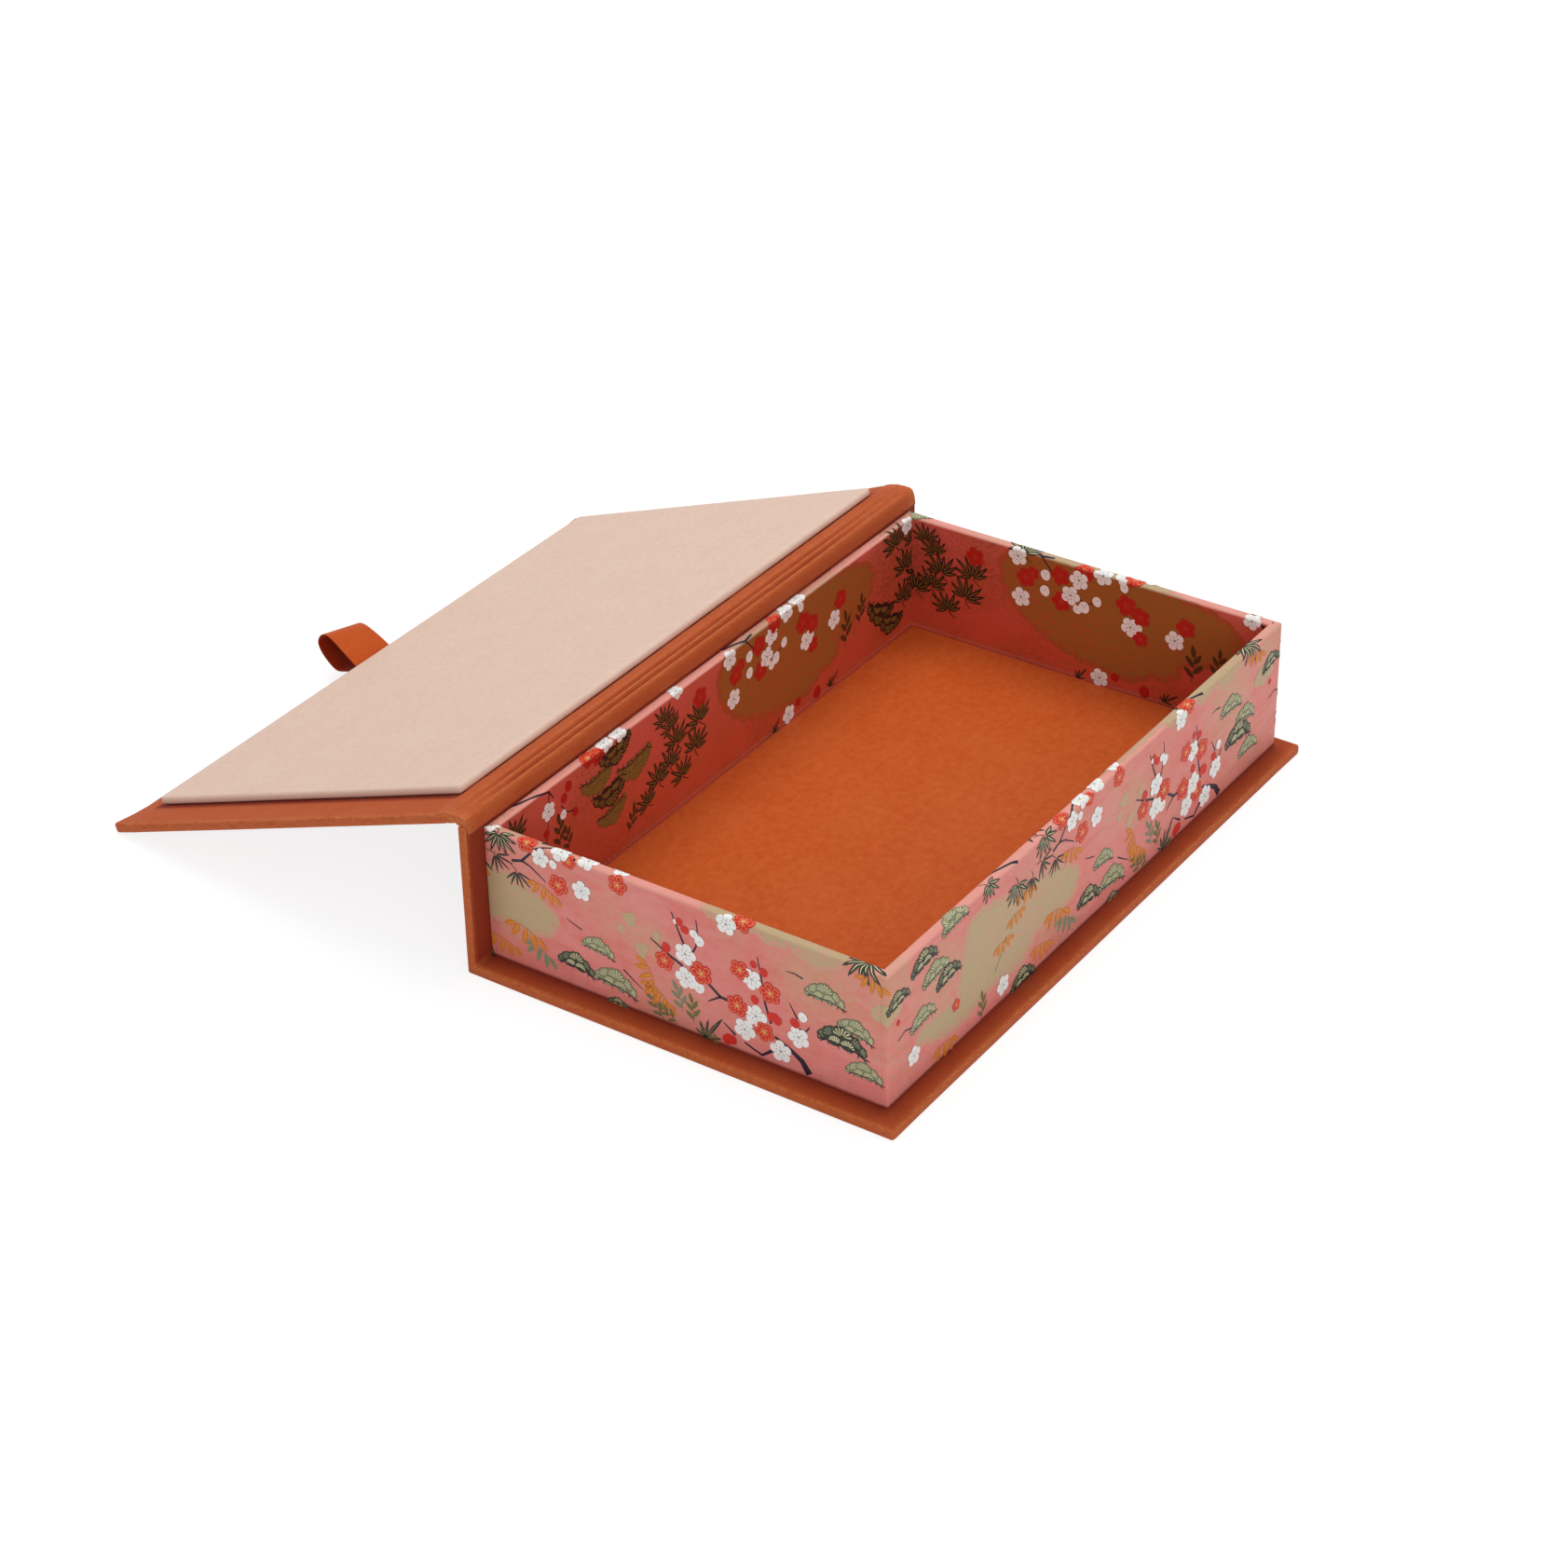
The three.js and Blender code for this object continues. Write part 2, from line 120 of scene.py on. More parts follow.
def addNode(tree, kind, links=None, **settings):
    made = tree.nodes.new(kind)
    for name, value in settings.items():
        setattr(made, name, value)
    for socket, value in (links or {}).items():
        if isinstance(value, bpy.types.NodeSocket):
            tree.links.new(value, made.inputs[socket])
        else:
            made.inputs[socket].default_value = value
    return made


def join(tree, target, **values):
    for name, value in values.items():
        tree.links.new(value, target.inputs[name.replace("_", " ")])


def sums(tree, operation, *values, clamp=False):
    made = addNode(tree, "ShaderNodeMath", dict(enumerate(values)), operation=operation, use_clamp=clamp)
    return made.outputs[0]


def times(tree, first, second):
    return sums(tree, "MULTIPLY", first, second)


def plus(tree, first, second):
    return sums(tree, "ADD", first, second)


def mixColour(tree, share, first, second, blend="MIX"):
    first, second = (hexColour(c) if isinstance(c, str) else c for c in (first, second))
    links = {0: share, 6: first, 7: second}
    return addNode(tree, "ShaderNodeMix", links, data_type="RGBA", blend_type=blend).outputs[2]


def ramp(tree, value, low, high, outLow=0.0, outHigh=1.0):
    links = {0: value, 1: low, 2: high, 3: outLow, 4: outHigh}
    return addNode(tree, "ShaderNodeMapRange", links, interpolation_type="SMOOTHSTEP").outputs[0]


def seenDirectly(tree):
    path = addNode(tree, "ShaderNodeLightPath")
    either = plus(tree, path.outputs["Is Camera Ray"], path.outputs["Is Glossy Ray"])
    return sums(tree, "ADD", either, path.outputs["Is Transmission Ray"], clamp=True)


studio = {
    "skyStrength": 0.5,
    "aim": (0, 0.05, 0.02),
    "floorSize": 9.0,
    "floorWhite": (0.9, 0.9, 0.9, 1),
    "floorGlow": 1.12,
    "floorLift": 0.75,  # how much of the floor's white is its own, so the shadow stays soft
    "softboxes": [
        # place, size, watts
        ((0.4, 0.3, 1.45), 1.2, 12.0),
        ((-0.95, -1.1, 0.75), 0.9, 5.5),
    ],
}


def makeStudio():
    world = bpy.data.worlds.new("studioWhite")
    scene.world = world
    world.use_nodes = True
    tree = world.node_tree
    tree.nodes.clear()
    seen = seenDirectly(tree)
    strength = ramp(tree, seen, 0.0, 1.0, studio["skyStrength"], 1.0)
    sky = addNode(tree, "ShaderNodeBackground", {0: (1, 1, 1, 1), 1: strength})
    addNode(tree, "ShaderNodeOutputWorld", {0: sky.outputs[0]})

    white = bpy.data.materials.new("studioFloor")
    white.use_nodes = True
    tree = white.node_tree
    tree.nodes.clear()
    matt = addNode(tree, "ShaderNodeBsdfDiffuse", {0: studio["floorWhite"]})
    glow = addNode(tree, "ShaderNodeEmission", {0: (1, 1, 1, 1), 1: studio["floorGlow"]})
    share = times(tree, seenDirectly(tree), studio["floorLift"])
    both = addNode(tree, "ShaderNodeMixShader", {0: share, 1: matt.outputs[0], 2: glow.outputs[0]})
    addNode(tree, "ShaderNodeOutputMaterial", {0: both.outputs[0]})
    bm = bmesh.new()
    bmesh.ops.create_grid(bm, x_segments=4, y_segments=4, size=studio["floorSize"] / 2)
    mesh = bpy.data.meshes.new("studioFloor")
    bm.to_mesh(mesh)
    bm.free()
    mesh.materials.append(white)
    floor = bpy.data.objects.new("studioFloor", mesh)
    scene.collection.objects.link(floor)

    for count, (place, size, watts) in enumerate(studio["softboxes"]):
        data = bpy.data.lights.new(f"softbox{count}", "AREA")
        data.shape = "DISK"
        data.size = size
        data.energy = watts
        lamp = bpy.data.objects.new(f"softbox{count}", data)
        scene.collection.objects.link(lamp)
        lamp.location = place
        lamp.rotation_mode = "QUATERNION"
        lamp.rotation_quaternion = (Vector(studio["aim"]) - Vector(place)).to_track_quat("-Z", "Y")
        lamp.visible_glossy = False


makeStudio()
print("camera, floor and light are up")


# shared effects

def newGroup(name, takes, gives):
    tree = bpy.data.node_groups.new(name, "ShaderNodeTree")
    tree.interface.new_socket(name="Vector", in_out="INPUT", socket_type="NodeSocketVector")
    for socket, value in takes.items():
        made = tree.interface.new_socket(name=socket, in_out="INPUT", socket_type="NodeSocketFloat")
        made.default_value = value
    for socket in gives:
        tree.interface.new_socket(name=socket, in_out="OUTPUT", socket_type="NodeSocketFloat")
    return tree, tree.nodes.new("NodeGroupInput").outputs, tree.nodes.new("NodeGroupOutput")


def noiseAt(tree, spot, scale, detail, **more):
    links = {"Vector": spot, "Scale": scale, "Detail": detail, **more}
    return addNode(tree, "ShaderNodeTexNoise", links).outputs["Fac"]


def cellsAt(tree, spot, scale):
    return addNode(tree, "ShaderNodeTexVoronoi", {"Vector": spot, "Scale": scale}).outputs


def axesOf(tree, spot):
    return addNode(tree, "ShaderNodeSeparateXYZ", {0: spot}).outputs[:]


def makeWeave():
    tree, takes, gives = newGroup("clothWeave", {"Pitch": 0.0005, "Slub": 0.5}, ["Height", "Thread", "Rib"])
    drift = noiseAt(tree, takes["Vector"], 420.0, 2.0)
    off = times(tree, sums(tree, "SUBTRACT", drift, 0.5), times(tree, takes["Slub"], takes["Pitch"]))
    waves = []
    for part in axesOf(tree, takes["Vector"])[:2]:
        turned = sums(tree, "DIVIDE", plus(tree, part, off), takes["Pitch"])
        waves.append(sums(tree, "SINE", times(tree, turned, math.pi)))
    across, along = (sums(tree, "ABSOLUTE", w) for w in waves)
    over = sums(tree, "GREATER_THAN", times(tree, *waves), 0.0)
    warp = times(tree, across, sums(tree, "MULTIPLY_ADD", along, 0.4, 0.6))
    weft = times(tree, along, sums(tree, "MULTIPLY_ADD", across, 0.4, 0.6))
    both = plus(tree, times(tree, over, warp), times(tree, sums(tree, "SUBTRACT", 1.0, over), weft))
    join(tree, gives, Height=both, Thread=ramp(tree, both, 0.1, 0.8), Rib=across)
    return tree


def makeFibre():
    tree, takes, gives = newGroup("paperFibre", {"Size": 0.004}, ["Mottle", "Height", "Fleck"])
    scale = sums(tree, "DIVIDE", 1.0, takes["Size"])
    spot = takes["Vector"]
    broad = noiseAt(tree, spot, scale, 5.0, Roughness=0.6)
    fine = noiseAt(tree, spot, times(tree, scale, 9.0), 4.0, Roughness=0.65)
    stretched = addNode(tree, "ShaderNodeMapping", {"Vector": spot, "Scale": (1.0, 4.0, 1.0)}).outputs[0]
    hairs = noiseAt(tree, stretched, times(tree, scale, 2.5), 3.0, Distortion=1.4)
    mottle = plus(tree, times(tree, broad, 0.55), times(tree, hairs, 0.45))
    height = plus(tree, times(tree, fine, 0.6), times(tree, hairs, 0.4))
    cells = cellsAt(tree, spot, times(tree, scale, 3.0))
    fleck = sums(tree, "SUBTRACT", 1.0, ramp(tree, cells["Distance"], 0.03, 0.12))
    join(tree, gives, Mottle=ramp(tree, mottle, 0.3, 0.7), Height=height, Fleck=fleck)
    return tree


def makeDust():
    tree, takes, gives = newGroup("goldDust", {"Amount": 0.5, "Extra": 0.0, "Grain": 0.0003}, ["Mask"])
    spot = takes["Vector"]
    near = ramp(tree, noiseAt(tree, spot, 27.0, 3.0, Roughness=0.55), 0.42, 0.68)
    grains = cellsAt(tree, spot, sums(tree, "DIVIDE", 1.0, takes["Grain"]))
    chance = addNode(tree, "ShaderNodeSeparateColor", {0: grains["Color"]}).outputs[0]
    wanted = sums(tree, "MULTIPLY_ADD", near, takes["Amount"], takes["Extra"])
    there = sums(tree, "LESS_THAN", chance, wanted)
    join(tree, gives, Mask=times(tree, there, sums(tree, "LESS_THAN", grains["Distance"], 0.62)))
    return tree


sheetBands = {
    # painted highlight on the rim's top and along the inner fold at the floor. run up the sheet in metres:
    # where the band begins, is whole, begins to fade and has ended
    "rim": (0.0394, 0.0402, 0.0430, 0.0437),
    "innerFootHighlight": (0.0786, 0.0791, 0.0796, 0.0801),
    "innerFootHighlightShare": 0.28,
}


def makeSide():
    # how far a point of the printed sheet is on the tray's inside, where painted shade makes the red deeper,
    # and where the painted highlight bands lie
    starts = {"Start": 0.0430, "End": 0.0438, "Foot": 0.08}
    tree, takes, gives = newGroup("sheetSide", starts, ["Inside", "Depth", "Rim"])
    run = axesOf(tree, takes["Vector"])[1]

    def band(places, share):
        start, whole, fading, gone = places
        return times(tree, ramp(tree, run, start, whole), ramp(tree, run, fading, gone, share, 0.0))
    pale = sums(tree, "MAXIMUM", band(sheetBands["rim"], 1.0),
                band(sheetBands["innerFootHighlight"], sheetBands["innerFootHighlightShare"]))
    join(tree, gives, Inside=ramp(tree, run, takes["Start"], takes["End"]),
         Depth=ramp(tree, run, takes["End"], takes["Foot"]), Rim=pale)
    return tree


clothWeave = makeWeave()
paperFibre = makeFibre()
goldDust = makeDust()
sheetSide = makeSide()


def placeGroup(tree, group, **values):
    return addNode(tree, "ShaderNodeGroup", values, node_tree=group).outputs


def newMaterial(name, **fixed):
    made = bpy.data.materials.new(name)
    made.use_nodes = True
    tree = made.node_tree
    tree.nodes.clear()
    shader = addNode(tree, "ShaderNodeBsdfPrincipled")
    addNode(tree, "ShaderNodeOutputMaterial", {0: shader.outputs[0]})
    for socket, value in fixed.items():
        shader.inputs[socket.replace("_", " ")].default_value = value
    return made, tree, shader


def surfacePlace(tree, flat=True):
    if flat:
        return addNode(tree, "ShaderNodeUVMap", uv_map="flat").outputs[0]
    return addNode(tree, "ShaderNodeTexCoord").outputs["Object"]


def pointMask(tree, name):
    return addNode(tree, "ShaderNodeAttribute", attribute_name=name).outputs["Fac"]


def finishSurface(tree, shader, colour, roughness, height, depth):
    bumped = addNode(tree, "ShaderNodeBump", {"Height": height, "Distance": depth, "Strength": 1.0})
    join(tree, shader, Base_Color=colour, Roughness=roughness, Normal=bumped.outputs[0])


clothLook = {
    "colour": "#C85E2C",
    "gap": "#93300F",
    "worn": "#D6814F",
    # colour of the painted shade in the cloth's corners, creases and round the pad's foot
    "shadeColour": "#7C1706",
    "pitch": 0.00042,
    "depth": 0.00006,
    "sheen": 0.06,
}


def makeCloth():
    look = clothLook
    made, tree, shader = newMaterial("bookCloth", Sheen_Weight=look["sheen"], Sheen_Roughness=0.45,
                                     Specular_IOR_Level=0.15)
    spot = surfacePlace(tree)
    weave = placeGroup(tree, clothWeave, Vector=spot, Pitch=look["pitch"], Slub=0.7)
    fibre = placeGroup(tree, paperFibre, Vector=spot, Size=0.011)
    thread = mixColour(tree, weave["Thread"], look["gap"], look["colour"])
    faded = mixColour(tree, times(tree, fibre["Mottle"], 0.16), thread, look["worn"])
    # real wear and painted highlight, paler on folds and corners
    worn = times(tree, pointMask(tree, "rub"), ramp(tree, fibre["Height"], 0.35, 0.6, 0.05, 0.5))
    wornAndLit = mixColour(tree, worn, faded, look["worn"])
    # painted shade: the cloth darkens where it lies in corners and creases, beside the tray and round the
    # pad
    tint = mixColour(tree, times(tree, pointMask(tree, "tuck"), 0.8), wornAndLit, look["shadeColour"])
    rough = ramp(tree, weave["Height"], 0.0, 1.0, 0.88, 0.7)
    lift = plus(tree, weave["Height"], times(tree, fibre["Height"], 0.7))
    finishSurface(tree, shader, tint, rough, lift, look["depth"])
    return made


def makePaper(name, colour, deep, pale, size, depth, flecks, flat=True, roughness=(0.8, 0.66)):
    made, tree, shader = newMaterial(name, Specular_IOR_Level=0.3)
    spot = surfacePlace(tree, flat)
    fibre = placeGroup(tree, paperFibre, Vector=spot, Size=size)
    wide = placeGroup(tree, paperFibre, Vector=spot, Size=size * 7)
    base = mixColour(tree, fibre["Mottle"], deep, colour)
    lit = mixColour(tree, times(tree, wide["Mottle"], 0.35), base, pale)
    dotted = mixColour(tree, times(tree, fibre["Fleck"], flecks), lit, deep)
    rough = ramp(tree, fibre["Mottle"], 0.0, 1.0, *roughness)
    finishSurface(tree, shader, dotted, rough, fibre["Height"], depth)
    return made


printRepeat = 195.4  # mm along the sheet
printGround = {
    "pink": "#DF8B85",
    "rose": "#D96F67",
    "pale": "#E9A193",
    "gold": "#B09C70",
    # rim: colour of the painted highlight on the rim's top and the inner foot
    "rim": "#ECB2A0",
    # foot: painted contact shadow along the sheet's lowest edge, where it meets the base
    "foot": "#7A2418",
    "footShadowReach": 0.0016,
    # inside the tray the ground and its gold carry painted shade, redder towards the floor
    "insideTop": "#D2584E",
    "shadedInsideFoot": "#CC4A34",
    "shadedInsideMist": "#B4542C",
    "shadedInsideGold": "#8A5A24",
    "dustAmount": 0.6,
    # where the gold dust drifts thickest in one repeat: along, up, reach
    "drifts": [(0.104, 0.031, 0.019), (0.053, 0.025, 0.010), (0.009, 0.018, 0.015), (0.150, 0.024, 0.017),
               (0.078, 0.041, 0.009), (0.128, 0.036, 0.012)],
}


def driftShare(tree, spot):
    run, up, _ = axesOf(tree, spot)
    along = sums(tree, "MODULO", run, printRepeat * mm)
    total = 0.0
    for u, v, reach in printGround["drifts"]:
        off = addNode(tree, "ShaderNodeCombineXYZ", {0: sums(tree, "SUBTRACT", along, u),
                                                     1: sums(tree, "SUBTRACT", up, v)})
        gone = addNode(tree, "ShaderNodeVectorMath", {0: off.outputs[0]}, operation="LENGTH")
        total = sums(tree, "MAXIMUM", total, ramp(tree, gone.outputs["Value"], reach * 0.2, reach, 0.8, 0.0))
    return total


def makeGround():
    look = printGround
    made, tree, shader = newMaterial("printedPaper", Specular_IOR_Level=0.35)
    spot = surfacePlace(tree)
    fibre = placeGroup(tree, paperFibre, Vector=spot, Size=0.0035)
    wide = placeGroup(tree, paperFibre, Vector=spot, Size=0.045)
    dust = placeGroup(tree, goldDust, Vector=spot, Amount=look["dustAmount"], Grain=0.00032,
                      Extra=driftShare(tree, spot))
    mist = mixColour(tree, wide["Mottle"], look["rose"], look["pink"])
    grain = mixColour(tree, times(tree, fibre["Mottle"], 0.3), mist, look["pale"])
    side = placeGroup(tree, sheetSide, Vector=spot)
    # painted shade on the tray's inside, deeper towards the floor
    inside = side["Inside"]
    deep = mixColour(tree, side["Depth"], look["insideTop"], look["shadedInsideFoot"])
    shadedMist = mixColour(tree, times(tree, wide["Mottle"], 0.5), deep, look["shadedInsideMist"])
    ground = mixColour(tree, inside, grain, shadedMist)
    gold = mixColour(tree, inside, look["gold"], look["shadedInsideGold"])
    share = ramp(tree, inside, 0.0, 1.0, 0.6, 0.5)
    powdered = mixColour(tree, times(tree, dust["Mask"], share), ground, gold)
    # painted highlight on the rim and along the inner foot
    rimLit = mixColour(tree, times(tree, side["Rim"], 0.4), powdered, look["rim"])
    # painted contact shadow along the foot of the wall
    foot = ramp(tree, axesOf(tree, spot)[1], look["footShadowReach"] * 0.2, look["footShadowReach"], 0.95, 0.0)
    footShaded = mixColour(tree, foot, rimLit, look["foot"])
    rough = ramp(tree, dust["Mask"], 0.0, 1.0, 0.62, 0.42)
    join(tree, shader, Metallic=times(tree, dust["Mask"], 0.4))
    finishSurface(tree, shader, footShaded, rough, fibre["Height"], 0.00003)
    return made


ribbonLook = {
    "colour": "#CF5814",
    "gap": "#94310B",
    "worn": "#DB6F32",
    # inside: painted shade on the loop's inner faces
    "inside": "#8E1505",
    "pitch": 0.00045,
    "depth": 0.00005,
    "sheen": 0.08,
}


def makeRibbon():
    look = ribbonLook
    made, tree, shader = newMaterial("pullRibbon", Sheen_Weight=look["sheen"], Sheen_Roughness=0.35,
                                     Specular_IOR_Level=0.2)
    spot = surfacePlace(tree)
    rib = placeGroup(tree, clothWeave, Vector=spot, Pitch=look["pitch"], Slub=0.25)["Rib"]
    fibre = placeGroup(tree, paperFibre, Vector=spot, Size=0.006)
    thread = mixColour(tree, rib, look["gap"], look["colour"])
    tint = mixColour(tree, times(tree, fibre["Mottle"], 0.2), thread, look["worn"])
    # painted shade on the loop's inner faces
    deep = mixColour(tree, times(tree, pointMask(tree, "tuck"), 0.7), tint, look["inside"])
    finishSurface(tree, shader, deep, ramp(tree, rib, 0.0, 1.0, 0.7, 0.48), rib, look["depth"])
    return made


bookCloth = makeCloth()
# colour, deep, pale, fibre size, bump depth, flecks
creamPaper = makePaper("creamPaper", "#E3C5B4", "#DAB9A7", "#E8CFBF", 0.0022, 0.000018, 0.22)
orangePaper = makePaper("orangePaper", "#C85A23", "#B84A16", "#CF6A34", 0.0024, 0.00002, 0.25, False)
printedPaper = makeGround()
pullRibbon = makeRibbon()
greyBoard = makePaper("greyBoard", "#9B968C", "#7D776C", "#ADA89C", 0.002, 0.00005, 0.6, False, (0.92, 0.85))
print("materials are mixed")


# mesh helpers

def only(kind, geom):
    return [g for g in geom if isinstance(g, kind)]


def cutAt(bm, axis, places):
    normal = Vector([k == axis for k in range(3)])
    for place in places:
        bmesh.ops.bisect_plane(bm, geom=bm.verts[:] + bm.edges[:] + bm.faces[:], dist=1e-7,
                               plane_co=normal * place, plane_no=normal)


def steps(low, high, pitch, margin=0.0):
    count = max(1, round((high - low - 2 * margin) / pitch))
    return [low + margin + (high - low - 2 * margin) * k / count for k in range(count + 1)]


def makeBlock(low, high):
    bm = bmesh.new()
    bmesh.ops.create_cube(bm, size=1)
    size = [b - a for a, b in zip(low, high)]
    bmesh.ops.scale(bm, vec=size, verts=bm.verts)
    bmesh.ops.translate(bm, vec=[(a + b) / 2 for a, b in zip(low, high)], verts=bm.verts)
    return bm


def roundEdges(bm, edges, radius, segments=3):
    bmesh.ops.bevel(bm, geom=edges, offset=radius, offset_type="OFFSET", segments=segments,
                    profile=0.5, affect="EDGES", material=-1, clamp_overlap=True)


def wobble(bm, look, seed=0):
    for v in bm.verts:
        v.co += noise.noise_vector(v.co / look["waveSize"] + Vector((seed, 0, 0))) * look["waviness"]


def lump(bm, centre, reach, push):
    for v in bm.verts:
        near = max(0.0, 1 - (v.co - Vector(centre)).length / reach)
        v.co += Vector(push) * near * near * (3 - 2 * near)


def boxUv(bm):
    layer = bm.loops.layers.uv.new("flat")
    for face in bm.faces:
        axis = max(range(3), key=lambda k: abs(face.normal[k]))
        first, second = [k for k in range(3) if k != axis]
        for loop in face.loops:
            loop[layer].uv = (loop.vert.co[first], loop.vert.co[second])


def makePiece(name, bm, materials, body, replaced, sharp=40):
    for edge in bm.edges:
        edge.smooth = len(edge.link_faces) != 2 or edge.calc_face_angle(0) < math.radians(sharp)
    for face in bm.faces:
        face.smooth = True
    mesh = bpy.data.meshes.new(name)
    bm.to_mesh(mesh)
    bm.free()
    for material in materials:
        mesh.materials.append(material)
    piece = bpy.data.objects.new(name, mesh)
    scene.collection.objects.link(piece)
    if body:
        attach(piece, body)
    if replaced:
        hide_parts(*replaced)
    return piece


def rubEdges(bm, reach):
    # how worn and how lit each point is, real wear with painted highlight: high on folds and corners, whole
    # where the fold is reach degrees or more
    layer = bm.verts.layers.float.new("rub")
    for v in bm.verts:
        bend = [e.calc_face_angle(0) for e in v.link_edges if len(e.link_faces) == 2]
        v[layer] = min(1.0, max(bend, default=0) / math.radians(reach))


def tuckEdges(bm, share):
    # painted shade in the cloth's corners and crevices: share(point) is 1 right in a corner
    layer = bm.verts.layers.float.new("tuck")
    for v in bm.verts:
        v[layer] = max(0.0, min(1.0, share(v.co)))


# hinge line and the lid's own frame: y runs from the hinge across the lid, z up from its outer face

lidHinge = next(j for j in frame["joints"] if j["name"] == "lid_hinge")
hingePoint = Vector(lidHinge["pos_m"])
lidDrop = math.radians(lidHinge["range_deg"][1] - 180)
lidPlace = Matrix.Translation(hingePoint) @ Matrix.Rotation(-lidDrop, 4, "X")


def lidBox(node):
    back = lidPlace.inverted()
    corners = [back @ v.co for v in frame["nodes"][node].data.vertices]
    return ([min(c[k] for c in corners) for k in range(3)],
            [max(c[k] for c in corners) for k in range(3)])


# book cloth round the base and spine

caseCloth = {
    "edgeRadius": 0.75 * mm,
    "pitch": 6 * mm,
    "margin": 1.6 * mm,
    "waviness": 0.05 * mm,
    "waveSize": 17 * mm,
    "cornerFold": 0.35 * mm,
    "cornerCrush": 0.06 * mm,
    "wearAndHighlightAngle": 30,
    "shadeReach": 6 * mm,
}


def makeCaseCloth():
    look = caseCloth
    low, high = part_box("base_cloth")
    spineLow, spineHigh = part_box("spine_cloth")
    bm = makeBlock(low, (high.x, spineHigh.y, high.z))
    cutAt(bm, 1, [spineLow.y])
    top = [f for f in bm.faces if f.normal.z > 0.9 and f.calc_center_median().y > spineLow.y]
    raised = bmesh.ops.extrude_face_region(bm, geom=top)
    moved = only(BMVert, raised["geom"])
    bmesh.ops.delete(bm, geom=top, context="FACES_ONLY")
    bmesh.ops.translate(bm, vec=(0, 0, spineHigh.z - high.z), verts=moved)
    bmesh.ops.recalc_face_normals(bm, faces=bm.faces)
    roundEdges(bm, [e for e in bm.edges if e.is_convex and e.calc_face_angle(0) > 1.0], look["edgeRadius"])
    pitch, edge = look["pitch"], look["margin"]
    cutAt(bm, 0, steps(low.x, high.x, pitch, edge))
    cutAt(bm, 1, steps(low.y, spineLow.y, pitch, edge) + [low.y + 3 * mm])
    cutAt(bm, 2, steps(high.z, spineHigh.z, pitch, edge))
    for x in (low.x, high.x):
        out, crush = math.copysign(1, x), look["cornerCrush"]
        lump(bm, (x, low.y, high.z), 7 * mm, (-out * crush, crush, -crush / 2))
        lump(bm, (x - out * 4 * mm, low.y, low.z + 1.5 * mm), 5 * mm, (0, -look["cornerFold"], 0))
    wobble(bm, look)
    for v in bm.verts:
        v.co.z = max(v.co.z, low.z)
    rubEdges(bm, look["wearAndHighlightAngle"])
    trayLow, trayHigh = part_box("near_paper")[0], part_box("far_paper")[1]

    # painted shade on the base's top beside the tray's foot, and deeper on the spine's inner face above it
    def nearTray(p):
        gone = max(trayLow.x - p.x, p.x - trayHigh.x, trayLow.y - p.y)
        if p.z > high.z + 1 * mm and p.y < spineLow.y + 0.2 * mm:
            return 1.35 - gone / look["shadeReach"] * 0.55
        if p.z < high.z - 0.3 * mm or p.y > spineLow.y + 0.2 * mm:
            return 0.0
        return 1 - gone / look["shadeReach"]
    tuckEdges(bm, nearTray)
    boxUv(bm)
    makePiece("case_cloth", bm, [bookCloth], "case", ("base_cloth", "spine_cloth"))


makeCaseCloth()


# greyboard in the lid and the pad, its edges crushed a little under the cloth

lidBoards = {
    "edgeRadius": 0.7 * mm,
    "edgeDrop": 1.0 * mm,
    "dropEnd": 14 * mm,
}
padLow, padHigh = lidBox("pad_cover")
lidLow, lidHigh = lidBox("lid_cloth")


def dropEdge(p):
    # the lid's free edge and far end thin past the pad, less so towards the near end and the hinge
    if p.z < lidHigh[2] / 2:
        return 0.0
    free = max(0.0, (p.y - padHigh[1]) / (lidHigh[1] - padHigh[1]))
    far = max(0.0, (p.x - padHigh[0]) / (lidHigh[0] - padHigh[0]))
    fromNear = min(1.0, (p.x - lidLow[0]) / lidBoards["dropEnd"])
    fromHinge = min(1.0, max(0.0, p.y - padLow[1]) / lidBoards["dropEnd"])
    return lidBoards["edgeDrop"] * max(fromNear * free ** 1.5, fromHinge * far ** 1.5)


def makeLidBoard(name, node):
    look = lidBoards
    low, high = lidBox(node)
    bm = makeBlock(low, high)
    roundEdges(bm, bm.edges[:], look["edgeRadius"])
    if high[1] > padHigh[1]:
        rings = (0.0, 2 * mm, 4 * mm)
        cutAt(bm, 0, [low[0] + look["dropEnd"]] + [padHigh[0] + r for r in rings])
        cutAt(bm, 1, [padLow[1] + look["dropEnd"]] + [padHigh[1] + r for r in rings])
        for v in bm.verts:
            v.co.z -= dropEdge(v.co)
    bm.transform(lidPlace)
    makePiece(name, bm, [greyBoard], "lid", (node,))


makeLidBoard("lid_board_core", "lid_board")
makeLidBoard("pad_board_core", "pad_board")


# book cloth round the lid board

lidCloth = {
    "edgeRadius": 0.85 * mm,
    "pitch": 6 * mm,
    "margin": 1.6 * mm,
    "start": 3.5 * mm,  # from the hinge, past the joint's cloth
    "waviness": 0.05 * mm,
    "waveSize": 19 * mm,
    "cornerFold": 0.5 * mm,
    "cornerCrush": 0.1 * mm,
    "wearAndHighlightAngle": 30,
    "shadeReach": 2.4 * mm,
}


